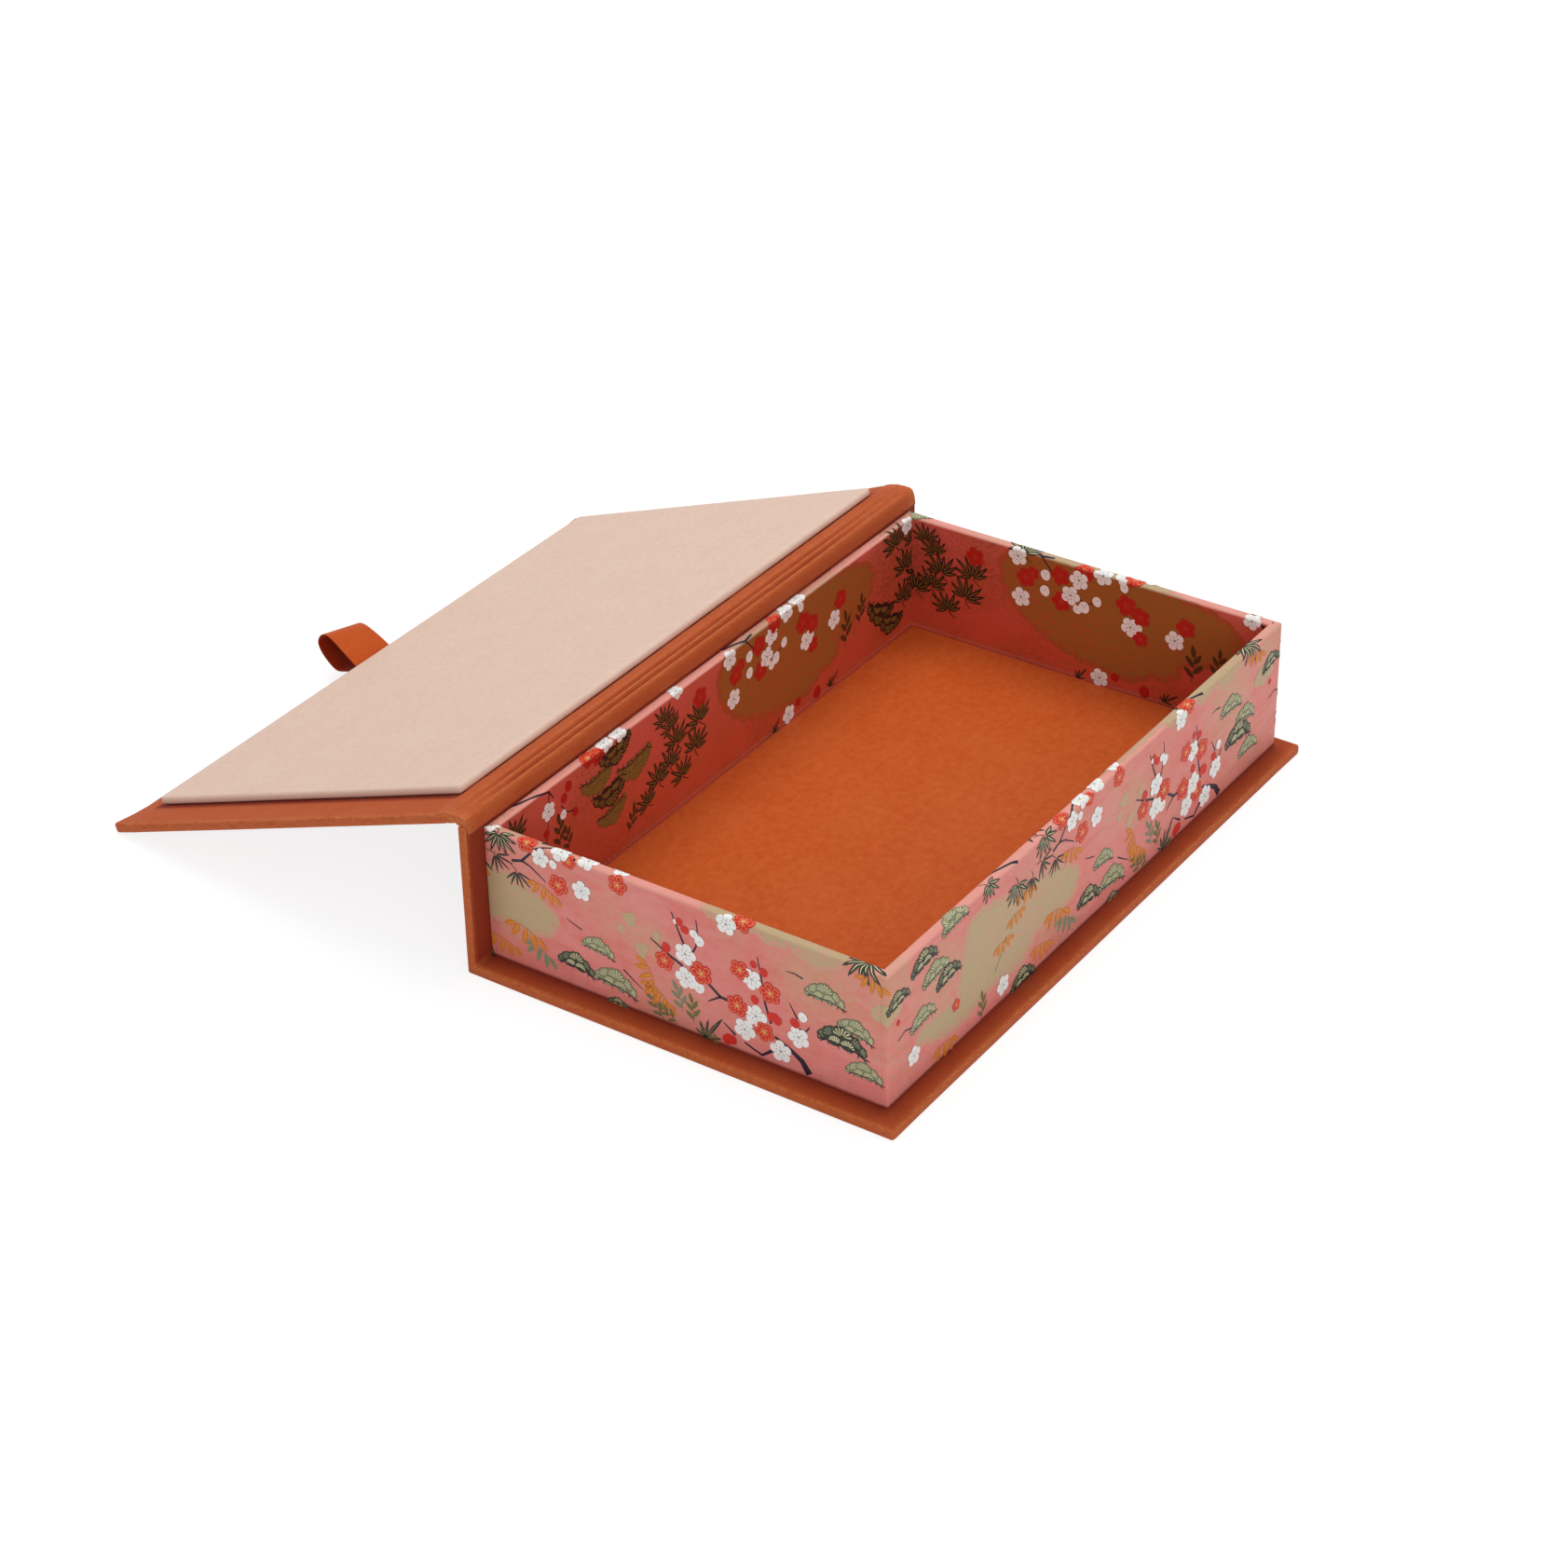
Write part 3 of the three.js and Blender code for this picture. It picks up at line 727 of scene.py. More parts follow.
def makeLidCloth():
    look = lidCloth
    low, high = lidBox("lid_cloth")
    low[1] = max(low[1], look["start"])
    bm = makeBlock(low, high)
    roundEdges(bm, bm.edges[:], look["edgeRadius"])
    pitch, edge = look["pitch"], look["margin"]
    rings = (0.0, look["shadeReach"] * 0.4, look["shadeReach"])
    cutAt(bm, 0, steps(low[0], high[0], pitch, edge) + [padLow[0] - r for r in rings]
          + [padHigh[0] + r for r in rings])
    cutAt(bm, 1, steps(low[1], high[1], pitch, edge) + [padHigh[1] + r for r in rings])
    for v in bm.verts:
        v.co.z -= dropEdge(v.co)
    for x in (low[0], high[0]):
        out, crush = math.copysign(1, x), look["cornerCrush"]
        lump(bm, (x, high[1], high[2]), 6 * mm, (-out * crush, -crush, look["cornerFold"] * 0.6))
        lump(bm, (x - out * 3 * mm, high[1], 1.5 * mm), 5 * mm, (0, look["cornerFold"], 0))
    wobble(bm, look, 4)
    rubEdges(bm, look["wearAndHighlightAngle"])

    # painted shadow on the lid cloth in a ring round the pad's foot
    def nearPad(p):
        if p.z < high[2] - 0.8 * mm:
            return 0.0
        gone = max(padLow[0] - p.x, p.x - padHigh[0], padLow[1] - p.y, p.y - padHigh[1])
        return 1.6 - max(0.0, gone) / look["shadeReach"] * 1.6
    tuckEdges(bm, nearPad)
    boxUv(bm)
    bm.transform(lidPlace)
    makePiece("lid_cloth_cover", bm, [bookCloth], "lid", ("lid_cloth",))


makeLidCloth()


# cloth joint between spine and lid, with its two pressed creases

hingeJoint = {
    "creaseDepth": 1.15 * mm,
    "creaseShade": 0.75,
    "overhang": 0.4 * mm,
    "pitch": 4 * mm,
    "waviness": 0.05 * mm,
    "waveSize": 9 * mm,
    "wearAndHighlightAngle": 70,
    "smoothBelow": 80,  # degrees
    # below this height the strip is painted all in shade
    "shadedBelow": 44.6 * mm,
    # the strip's section in mm as a closed loop. on the lid: from the hinge, up from its outer face
    "overLid": [(6.5, 3.06), (5.2, 3.1), (4.2, 3.1)],
    # between them: y, z, and how much of the crease depth is pressed in there
    "bulge": [(71.0, 48.75), (70.4, 48.95), (69.8, 49.0, 0.35), (69.3, 49.05, 0.8), (68.9, 49.1, 1.0),
              (68.5, 49.1, 0.6), (68.1, 49.15, 0.05), (67.6, 49.2), (67.2, 49.2, 0.25), (66.8, 49.2, 0.8),
              (66.4, 49.2, 1.0), (66.0, 49.15, 0.5), (65.6, 49.1, 0.05), (65.1, 48.95), (64.6, 48.5),
              (64.25, 47.7), (63.95, 46.6), (63.8, 45.6), (63.72, 44.9), (63.72, 44.2), (63.98, 44.2),
              (64.02, 45.2), (64.1, 46.0), (64.6, 46.45), (65.8, 46.55), (66.9, 46.45), (67.3, 46.4),
              (67.6, 46.9)],
    "underLid": [(1.6, 0.05), (2.6, 0.05), (3.5, 0.1), (4.2, 0.5), (4.4, 2.2), (5.0, 2.75), (6.5, 2.8)],
}


def makeHingeJoint():
    look = hingeJoint
    low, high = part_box("hinge_cloth")

    def onLid(away, up):
        p = lidPlace @ Vector((0, away * mm, up * mm))
        return p.y, p.z, 0

    def onCase(y, z, share=0):
        return y * mm, z * mm, share
    loop = [onLid(*p) for p in look["overLid"]]
    loop += [onCase(*p) for p in look["bulge"]]
    loop += [onLid(*p) for p in look["underLid"]]
    start, end = low.x - look["overhang"], high.x + look["overhang"]
    ribs = steps(start, end, look["pitch"])
    bm = bmesh.new()
    bmesh.ops.create_circle(bm, segments=len(loop), radius=0.01)
    bm.verts.ensure_lookup_table()
    for v, (y, z, _) in zip(bm.verts, loop):
        v.co = (start, y, z)
    rib = bm.edges[:]
    for _ in ribs[1:]:
        drawn = bmesh.ops.extrude_edge_only(bm, edges=rib)["geom"]
        rib = only(BMEdge, drawn)
        bmesh.ops.translate(bm, verts=only(BMVert, drawn), vec=((end - start) / (len(ribs) - 1), 0, 0))
    bmesh.ops.holes_fill(bm, edges=bm.edges[:], sides=0)
    places = {(round(y, 7), round(z, 7)): share for y, z, share in loop}
    shadeLayer = bm.verts.layers.float.new("tuck")
    for v in bm.verts:
        share = places.get((round(v.co.y, 7), round(v.co.z, 7)), 0)
        run = (v.co.x - start) / (end - start)
        pressed = min(1, run / 0.12) * min(1, (1 - run) / 0.2)
        drift = 1 + 0.3 * noise.noise(Vector((v.co.x * 30, 0, v.co.y * 500)))
        v.co.z -= look["creaseDepth"] * share * pressed * drift
        v[shadeLayer] = look["creaseShade"] * share * share * pressed
    bmesh.ops.recalc_face_normals(bm, faces=bm.faces)
    wobble(bm, look, 8)
    rubEdges(bm, look["wearAndHighlightAngle"])
    boxUv(bm)
    # painted shade on the strip's face that hangs down against the tray's rim
    for v in bm.verts:
        if v.co.z < look["shadedBelow"]:
            v[shadeLayer] = 1.0
    joint = makePiece("hinge_joint_cloth", bm, [bookCloth], None, (), look["smoothBelow"])
    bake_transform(joint)
    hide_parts("hinge_cloth")


makeHingeJoint()
print("book cloth is on")


# strips of cloth glued beside the joint, down the spine and along the lid

gluedStrips = {
    "edgeRadius": 0.06 * mm,
    "pitch": 9 * mm,
    "wearAndHighlightAngle": 60,
}


def makeStrip(name, node, body):
    look = gluedStrips
    low, high = lidBox(node) if body == "lid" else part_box(node)
    bm = makeBlock(low, high)
    roundEdges(bm, bm.edges[:], look["edgeRadius"])
    cutAt(bm, 0, steps(low[0], high[0], look["pitch"]))
    rubEdges(bm, look["wearAndHighlightAngle"])
    boxUv(bm)
    if body == "lid":
        bm.transform(lidPlace)
    strip = makePiece(name, bm, [bookCloth], body, (node,))


makeStrip("lid_strip", "lid_liner", "lid")
makeStrip("spine_strip", "spine_liner", "case")


# cream pad on the lid

padCover = {
    "edgeRadius": 1.1 * mm,
    "cornerRadius": 1.1 * mm,
    "pitch": 7 * mm,
    "margin": 2.4 * mm,
    "waviness": 0.04 * mm,
    "waveSize": 15 * mm,
    "bow": 0.12 * mm,
    "cornerCrush": 0.12 * mm,
    "wearAndHighlightAngle": 40,
}


def makePadCover():
    look = padCover
    low, high = padLow, padHigh
    bm = makeBlock(low, high)
    uprights = [e for e in bm.edges if abs((e.verts[0].co - e.verts[1].co).normalized().z) > 0.9]
    roundEdges(bm, uprights, look["cornerRadius"], 4)
    roundEdges(bm, [e for e in bm.edges if e.calc_face_angle(0) > 1.0], look["edgeRadius"], 4)
    pitch, edge = look["pitch"], look["margin"]
    cutAt(bm, 0, steps(low[0], high[0], pitch, edge))
    cutAt(bm, 1, steps(low[1], high[1], pitch, edge))
    for v in bm.verts:
        if v.co.z > high[2] - 0.5 * mm:
            v.co.z += look["bow"] * noise.noise(v.co * 18)
    for x in (low[0], high[0]):
        for y in (low[1], high[1]):
            lump(bm, (x, y, high[2] - 1 * mm), 3.5 * mm,
                 (math.copysign(look["cornerCrush"], -x),
                  math.copysign(look["cornerCrush"], low[1] + 1 * mm - y), 0))
    wobble(bm, look, 2)
    rubEdges(bm, look["wearAndHighlightAngle"])
    boxUv(bm)
    bm.transform(lidPlace)
    makePiece("pad_paper", bm, [creamPaper], "lid", ("pad_cover",))


makePadCover()
print("pad is covered")


# ribbon pull at the lid's free edge

pullLoop = {
    "thickness": 0.3 * mm,
    # (distance from the hinge, height over the lid's outer face) in mm, near edge and far edge
    "nearEdge": [(124.75, 3.4), (126.5, 6.0), (129.4, 10.6), (132.4, 15.0), (134.6, 16.0), (136.7, 15.2),
                 (138.2, 13.2), (138.1, 10.0), (136.6, 6.4), (134.6, 3.9), (131.0, 3.35), (124.85, 3.2)],
    "farEdge": [(124.75, 3.4), (125.9, 5.6), (129.0, 9.2), (132.2, 12.1), (134.4, 12.8), (136.5, 12.2),
                (137.9, 10.7), (137.8, 8.2), (136.3, 5.6), (134.6, 3.9), (131.0, 3.35), (124.85, 3.2)],
    "turns": 40,
    "middle": (132.5, 9.0),
}


def curveThrough(points, count):
    # even steps along a smooth line through the points
    ends = [points[0], *points, points[-1]]
    fine = []
    for k in range(1, len(ends) - 2):
        a, b, c, d = (Vector(p) for p in ends[k - 1:k + 3])
        for s in range(16):
            t = s / 16
            fine.append(0.5 * ((2 * b) + (c - a) * t + (2 * a - 5 * b + 4 * c - d) * t * t
                               + (3 * b - a - 3 * c + d) * t * t * t))
    fine.append(Vector(points[-1]))
    gone = [0.0]
    for a, b in zip(fine, fine[1:]):
        gone.append(gone[-1] + (b - a).length)
    line = []
    for k in range(count + 1):
        want = gone[-1] * k / count
        i = max(i for i in range(len(gone)) if gone[i] <= want + 1e-9)
        i = min(i, len(fine) - 2)
        part = (want - gone[i]) / max(1e-9, gone[i + 1] - gone[i])
        line.append(fine[i].lerp(fine[i + 1], min(1, part)))
    return line, gone[-1]


def makePullLoop():
    look = pullLoop
    low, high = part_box("pull_loop")
    near, length = curveThrough(look["nearEdge"], look["turns"])
    far, _ = curveThrough(look["farEdge"], look["turns"])
    bm = bmesh.new()
    bmesh.ops.create_grid(bm, x_segments=8, y_segments=look["turns"], size=0.5, calc_uvs=False)
    layer = bm.loops.layers.uv.new("flat")
    for face in bm.faces:
        for loop in face.loops:
            spot = loop.vert.co
            loop[layer].uv = ((spot.y + 0.5) * length * mm, spot.x * (high.x - low.x))
    for v in bm.verts:
        across, along = v.co.x + 0.5, round((v.co.y + 0.5) * look["turns"])
        p = near[along].lerp(far[along], across)
        v.co = (low.x + (high.x - low.x) * across, p.x * mm, p.y * mm)
    bmesh.ops.recalc_face_normals(bm, faces=bm.faces)
    bmesh.ops.solidify(bm, geom=bm.faces[:], thickness=look["thickness"])
    bmesh.ops.recalc_face_normals(bm, faces=bm.faces)
    bm.normal_update()
    middle = Vector((0, *look["middle"])) * mm
    # marks the faces on the loop's inner side for painted shade
    shadedPart = bm.verts.layers.float.new("tuck")
    for v in bm.verts:
        v[shadedPart] = 1.0 if v.normal.dot(middle - Vector((0, v.co.y, v.co.z))) > 0 else 0.0
    bm.transform(lidPlace)
    loop = makePiece("ribbon_pull", bm, [pullRibbon], "lid", ("pull_loop",))
    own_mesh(loop)


makePullLoop()
print("ribbon is looped")


# printed paper over the tray walls

sheet = {
    "wall": 3.0,
    "rimRadius": 0.75,
    "footRadius": 0.3,
    "lip": 4.0,
    "tab": 1.8,
    "proud": 0.07,
    "thickness": 0.2,
    "cornerRadius": 0.6,
    "pitch": 7.0,
    "spare": 2.0,  # past each end, before it is trimmed
}
trayLow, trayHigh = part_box("front_paper")[0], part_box("back_paper")[1]
trayNear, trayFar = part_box("near_paper")[0].x / mm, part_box("far_paper")[1].x / mm
trayFront, trayBack = trayLow.y / mm, trayHigh.y / mm
trayFoot, trayRim = trayLow.z / mm, trayHigh.z / mm
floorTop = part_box("floor_paper")[0].z / mm


def wallFolds():
    # (run up the sheet, depth into the wall, height, outward normal), at every fold line
    look = sheet
    r, wall, foot = look["rimRadius"], look["wall"], look["footRadius"]
    folds = []
    run = 0.0

    def arc(centre, radius, start, end, sign):
        nonlocal run
        for k in range(5):
            a = math.radians(start + (end - start) * k / 4)
            folds.append((run, centre[0] + radius * math.cos(a), centre[1] + radius * math.sin(a),
                          sign * math.cos(a), sign * math.sin(a)))
            if k < 4:
                run += radius * math.radians(abs(end - start)) / 4

    folds.append((run, 0.0, trayFoot, -1.0, 0.0))
    run += trayRim - trayFoot - r
    arc((r, trayRim - r), r, 180, 90, 1)
    run += wall - 2 * r
    arc((wall - r, trayRim - r), r, 90, 0, 1)
    run += trayRim - r - floorTop - foot
    arc((wall + foot, floorTop + foot), foot, 180, 270, -1)
    run += look["lip"]
    folds.append((run, wall + foot + look["lip"], floorTop, 0.0, 1.0))
    return folds


folds = wallFolds()
walls = {
    # corner where the sheet starts, along, inward, length, whether it wraps the upright corners
    "front": ((trayNear, trayFront), (1, 0), (0, 1), trayFar - trayNear, True),
    "near": ((trayNear, trayBack), (0, -1), (1, 0), trayBack - trayFront, False),
    "far": ((trayFar, trayFront), (0, 1), (-1, 0), trayBack - trayFront, False),
    "back": ((trayFar, trayBack), (-1, 0), (0, -1), trayFar - trayNear, False),
}


def foldPlace(name, u, t, lift):
    corner, along, inward, length, wraps = walls[name]
    k = next((i for i in range(len(folds) - 1) if t <= folds[i + 1][0]), len(folds) - 2)
    a, b = folds[k], folds[k + 1]
    share = (t - a[0]) / (b[0] - a[0])
    depth, height, outD, outZ = (p + (q - p) * share for p, q in zip(a[1:], b[1:]))
    size = math.hypot(outD, outZ)
    lifted = lift + (sheet["proud"] if name in ("near", "far") and k == 0 else 0)
    depth += outD / size * lifted
    height += outZ / size * lift
    if wraps and u < 0:
        spot = [corner[i] + inward[i] * -u + along[i] * depth for i in (0, 1)]
    elif wraps and u > length:
        spot = [corner[i] + along[i] * (length - depth) + inward[i] * (u - length) for i in (0, 1)]
    else:
        spot = [corner[i] + along[i] * u + inward[i] * depth for i in (0, 1)]
    return Vector((*spot, height))


def trimSheet(bm, name):
    # folds are scored first, then each band between two folds is cut to its mitre
    length, wraps = walls[name][3:]
    runs = [f[0] for f in folds]
    cutAt(bm, 1, runs)
    ends = [v for v in bm.verts if v.co.y < runs[0] - 1e-4 or v.co.y > runs[-1] + 1e-4]
    bmesh.ops.delete(bm, geom=ends, context="VERTS")
    scored = [e for e in bm.edges if abs(e.verts[0].co.y - e.verts[1].co.y) < 1e-5
              and min(abs(e.verts[0].co.y - t) for t in runs) < 1e-4]
    bmesh.ops.split_edges(bm, edges=scored)
    corner = sheet["cornerRadius"]
    rounds = [corner * k / 3 for k in range(4)]
    cutAt(bm, 0, rounds + [length - r for r in rounds])
    if wraps:
        cutAt(bm, 0, [-r for r in rounds[1:]] + [length + r for r in rounds[1:]])
    for a, b in zip(folds, folds[1:]):
        if a[1] == b[1] == 0.0:
            tab = sheet["tab"]
            left = (-tab, -tab) if wraps else ((tab, tab) if name == "far" else (0, 0))
            right = (-tab, -tab) if wraps else ((tab, tab) if name == "near" else (0, 0))
        else:
            left = right = (a[1], b[1])
        for start, side in ((left, -1), (right, 1)):
            band = [f for f in bm.faces if a[0] < f.calc_center_median().y < b[0]]
            if not band:
                continue
            x = start if side < 0 else (length - start[0], length - start[1])
            line = Vector((x[1] - x[0], b[0] - a[0], 0))
            normal = Vector((line.y, -line.x, 0)).normalized() * (-1 if side < 0 else 1)
            geom = {g for f in band for g in (f, *f.edges, *f.verts)}
            bmesh.ops.bisect_plane(bm, geom=list(geom), dist=1e-6, plane_co=(x[0], a[0], 0),
                                   plane_no=normal, clear_outer=True)
    bmesh.ops.remove_doubles(bm, verts=bm.verts, dist=1e-4)


def foldSheet(bm, name):
    layer = bm.loops.layers.uv.get("flat") or bm.loops.layers.uv.new("flat")
    shift = outsideStart[name]
    for face in bm.faces:
        for loop in face.loops:
            loop[layer].uv = ((loop.vert.co.x + shift) * mm, loop.vert.co.y * mm)
    middle = Vector(((trayNear + trayFar) / 2, (trayFront + trayBack) / 2))
    straight = Vector(((trayFar - trayNear) / 2, (trayBack - trayFront) / 2))
    straight -= Vector((1, 1)) * sheet["cornerRadius"]
    for v in bm.verts:
        spot = foldPlace(name, v.co.x, v.co.y, v.co.z)
        away = spot.xy - middle
        over = Vector((abs(away.x) - straight.x, abs(away.y) - straight.y))
        if over.x > 0 and over.y > 0:  # upright corners are rounded a little
            over *= max(over.x, over.y) / over.length
            spot.x = middle.x + math.copysign(straight.x + over.x, away.x)
            spot.y = middle.y + math.copysign(straight.y + over.y, away.y)
        v.co = spot * mm


# ink on the paper: plum blossom, pine, bamboo and gold cloud, each a thin patch that folds with the sheet

inkColours = {
    # outside the tray, inside it with painted shade, metallic, roughness
    "white": ("#FBF9F6", "#FDFAF6", 0.0, 0.6),
    "red": ("#D92C1E", "#BE1814", 0.0, 0.55),
    "goldLine": ("#EFC078", "#C24A2C", 0.0, 0.5),
    "grey": ("#A9ADA6", "#978B86", 0.0, 0.6),
    "branch": ("#231A2C", "#1C0F16", 0.0, 0.5),
    "pineDark": ("#33382B", "#30180A", 0.0, 0.6),
    "sage": ("#8B8F70", "#80602A", 0.0, 0.6),
    "needle": ("#D8D0A2", "#8E6E30", 0.0, 0.55),
    "orange": ("#DB8029", "#B5561A", 0.0, 0.6),
    "cloud": ("#BFAA80", "#A2672C", 0.1, 0.5),
    "mist": ("#C3A882", "#A05A2C", 0.1, 0.55),
    "olive": ("#7A7444", "#54340F", 0.0, 0.6),
}
# how far each layer of ink lies over the paper, in mm
inkLift = {"mist": 0.008, "cloud": 0.03, "branch": 0.05, "leaf": 0.062, "pine": 0.074, "blossom": 0.12,
           "scatter": 0.02, "inside": 0.012, "step": 0.002}
powder = {"cloudInk": 0.14, "mistInk": 0.62}  # share of the grains that let the ground show


def makeInk(name, outside, inside, metal, roughness):
    made, tree, shader = newMaterial(name, Metallic=metal, Specular_IOR_Level=0.35)
    spot = surfacePlace(tree)
    fibre = placeGroup(tree, paperFibre, Vector=spot, Size=0.0022)
    shadedPart = placeGroup(tree, sheetSide, Vector=spot)["Inside"]
    # inside the tray the ink takes its painted-shade colour
    colour = mixColour(tree, shadedPart, outside, inside)
    grain = ramp(tree, fibre["Height"], 0.4, 0.62, 0.86, 1.0)
    tint = mixColour(tree, 1.0, colour, grain, "MULTIPLY")
    if name in powder:
        dust = placeGroup(tree, goldDust, Vector=spot, Amount=0.25, Extra=powder[name], Grain=0.00034)
        # the powdered ink shows the ground, with painted shade inside the tray
        ground = mixColour(tree, shadedPart, printGround["pink"], printGround["shadedInsideFoot"])
        tint = mixColour(tree, times(tree, dust["Mask"], 0.8), tint, ground)
    rough = ramp(tree, fibre["Mottle"], 0.0, 1.0, roughness + 0.08, roughness - 0.06)
    finishSurface(tree, shader, tint, rough, fibre["Height"], 0.00003)
    return made


inks = {name: makeInk(f"{name}Ink", *values) for name, values in inkColours.items()}
inkSlot = {name: k + 1 for k, name in enumerate(inks)}


def inkFaces(faces, ink):
    for face in faces:
        face.material_index = inkSlot[ink]
        face.normal_update()
        if face.normal.z < 0:
            face.normal_flip()


def polar(angle, radius, centre=(0, 0)):
    return centre[0] + radius * math.cos(angle), centre[1] + radius * math.sin(angle)


def addDisc(bm, ink, lift, segments, shape):
    # a flat patch of ink whose outline is shape(angle)
    made = bmesh.ops.create_circle(bm, cap_ends=True, radius=1.0, segments=segments)["verts"]
    for v in made:
        x, y = shape(math.atan2(v.co.y, v.co.x))
        v.co = (x, y, lift)
    inkFaces({f for v in made for f in v.link_faces}, ink)


def addDot(bm, ink, lift, segments, radius, centre=(0, 0)):
    addDisc(bm, ink, lift, segments, lambda a: polar(a, radius, centre))


def addLeaf(bm, ink, lift, root, angle, length, width, bend=0.0):
    turned, side = Vector((math.cos(angle), math.sin(angle))), Vector((-math.sin(angle), math.cos(angle)))

    def shape(a):
        run = (1 - math.cos(a)) / 2
        spread = math.sin(a) * abs(math.sin(a)) ** 0.4 * width / 2 * (1 - 0.3 * run)
        spot = Vector(root) + turned * run * length + side * (spread + bend * run * run)
        return spot.x, spot.y
    addDisc(bm, ink, lift, 10, shape)


def addStroke(bm, ink, lift, points, startWidth, endWidth):
    line = [Vector(p) for p in points]
    edge = None
    for k, here in enumerate(line):
        run = (line[min(k + 1, len(line) - 1)] - line[max(k - 1, 0)]).normalized()
        half = (startWidth + (endWidth - startWidth) * k / (len(line) - 1)) / 2
        side = Vector((-run.y, run.x)) * half
        if edge is None:
            pair = [bm.verts.new((*(here + side), lift)), bm.verts.new((*(here - side), lift))]
            edge = bm.edges.new(pair)
            continue
        drawn = bmesh.ops.extrude_edge_only(bm, edges=[edge])["geom"]
        edge = only(BMEdge, drawn)[0]
        first = min(edge.verts, key=lambda v: (v.co.xy - pair[0].co.xy).length)
        last = edge.other_vert(first)
        first.co, last.co = (*(here + side), lift), (*(here - side), lift)
        pair = [first, last]
        inkFaces(only(BMFace, drawn), ink)


def stamp(draw, *values):
    # a motif drawn once, to be printed many times
    bm = bmesh.new()
    draw(bm, *values)
    mesh = bpy.data.meshes.new(draw.__name__)
    bm.to_mesh(mesh)
    bm.free()
    return mesh


def petals(radius, notch=0.3):
    return lambda a: polar(a, radius * (1 - notch + notch * abs(math.cos(2.5 * a)) ** 0.6))


def drawWhiteBlossom(bm):
    addDisc(bm, "white", 0.0, 40, petals(3.2))
    for k in range(5):
        a = math.radians(72 * k + 36)
        addStroke(bm, "grey", 0.008, [polar(a, 1.3), polar(a, 2.15)], 0.1, 0.16)
        a += math.radians(36)
        addStroke(bm, "grey", 0.008, [(0, 0), polar(a, 1.2)], 0.12, 0.08)
        addDot(bm, "grey", 0.009, 6, 0.2, polar(a, 1.35))
    addDot(bm, "grey", 0.01, 8, 0.38)


def drawRedBlossom(bm):
    addDisc(bm, "red", 0.0, 40, petals(3.2))
    for k in range(5):
        a = math.radians(72 * k)
        ring = [polar(a + b, 0.82, polar(a, 1.95)) for b in (-2.0, -1.2, -0.4, 0.4, 1.2, 2.0)]
        addStroke(bm, "goldLine", 0.008, ring, 0.11, 0.11)
        for turn in (-0.25, 0.25):
            addStroke(bm, "goldLine", 0.008, [(0, 0), polar(a + turn, 1.4)], 0.1, 0.17)
    addDot(bm, "goldLine", 0.01, 8, 0.3)


def drawBud(bm, ink):
    addDisc(bm, ink, 0.0, 14, lambda a: (1.35 * math.cos(a), 1.5 * math.sin(a) * (1 - 0.12 * math.cos(a))))
    if ink == "white":
        addStroke(bm, "grey", 0.008, [(-0.5, -0.8), (0, 0.2), (0.6, -0.7)], 0.12, 0.12)


def drawSideBlossom(bm):
    for turn in (-0.75, 0.0, 0.75):
        spot = polar(math.pi / 2 + turn, 1.3)
        addDisc(bm, "red", 0.002 * turn, 14,
                lambda b, s=spot: (s[0] + 1.35 * math.cos(b), s[1] + 1.5 * math.sin(b)))


pineFans = [
    # foot, radius and lean of each fan of needles, the back row first
    ((-4.5, -1.0), 2.0, 34), ((4.7, -1.3), 1.9, -36), ((-2.7, 0.1), 2.5, 16), ((2.8, -0.1), 2.4, -18),
    ((0.1, 0.8), 2.9, 0), ((-1.7, -1.4), 2.1, 10), ((1.5, -1.5), 2.2, -8),
]
pineTwigs = [
    [(-6.3, -0.4), (-4.6, -1.7), (-2.6, -1.3), (-0.4, -1.6), (1.6, -1.2), (3.8, -1.9), (5.4, -2.6),
     (7.2, -2.9)],
    [(-4.6, -1.7), (-5.6, -2.6)], [(-3.2, -1.4), (-3.6, -2.7)], [(-1.2, -1.5), (-0.6, -2.8)],
    [(0.8, -1.3), (1.6, -2.6)], [(2.6, -1.5), (2.4, -2.8)], [(4.4, -2.1), (4.2, -3.3)],
    [(5.8, -2.7), (6.4, -3.8)],
]


def drawPine(bm, kind):
    # 13 wide and 6 tall, a row of needle fans on a forked twig
    dark = kind == "dark"
    for count, (foot, radius, lean) in enumerate(pineFans):
        lift = 0.005 * count
        bold = dark and count > 3

        def fan(grow):
            def shape(a):
                up = math.sin(a)
                frill = 0.12 * abs(math.sin(3.5 * a)) if up > 0 else 0.5 * up
                return polar(a + math.radians(lean), (radius + grow) * (0.92 + frill), foot)
            return shape
        if not dark:
            addDisc(bm, "pineDark", lift, 28, fan(0.06))
        addDisc(bm, "pineDark" if dark else "sage", lift + 0.002, 28, fan(0.0))
        for k in range(7):
            angle = 90 + lean + (k - 3) * 25
            way = Vector(polar(math.radians(angle), 1.0))
            root = Vector(foot) - way * 0.2
            addStroke(bm, "sage" if dark and not bold else "needle", lift + 0.004,
                      [root + way * radius * 0.25, root + way * radius * 0.9], 0.12, 0.5 if bold else 0.42)
            way = Vector(polar(math.radians(angle + 12), 1.0))
            gap = [Vector(foot) + way * radius * share for share in (0.4, 0.95)]
            addStroke(bm, "pineDark", lift + 0.004, gap, 0.06, 0.06)
    for line in pineTwigs:
        addStroke(bm, "branch", 0.046, line, 0.3, 0.14 if len(line) == 2 else 0.3)


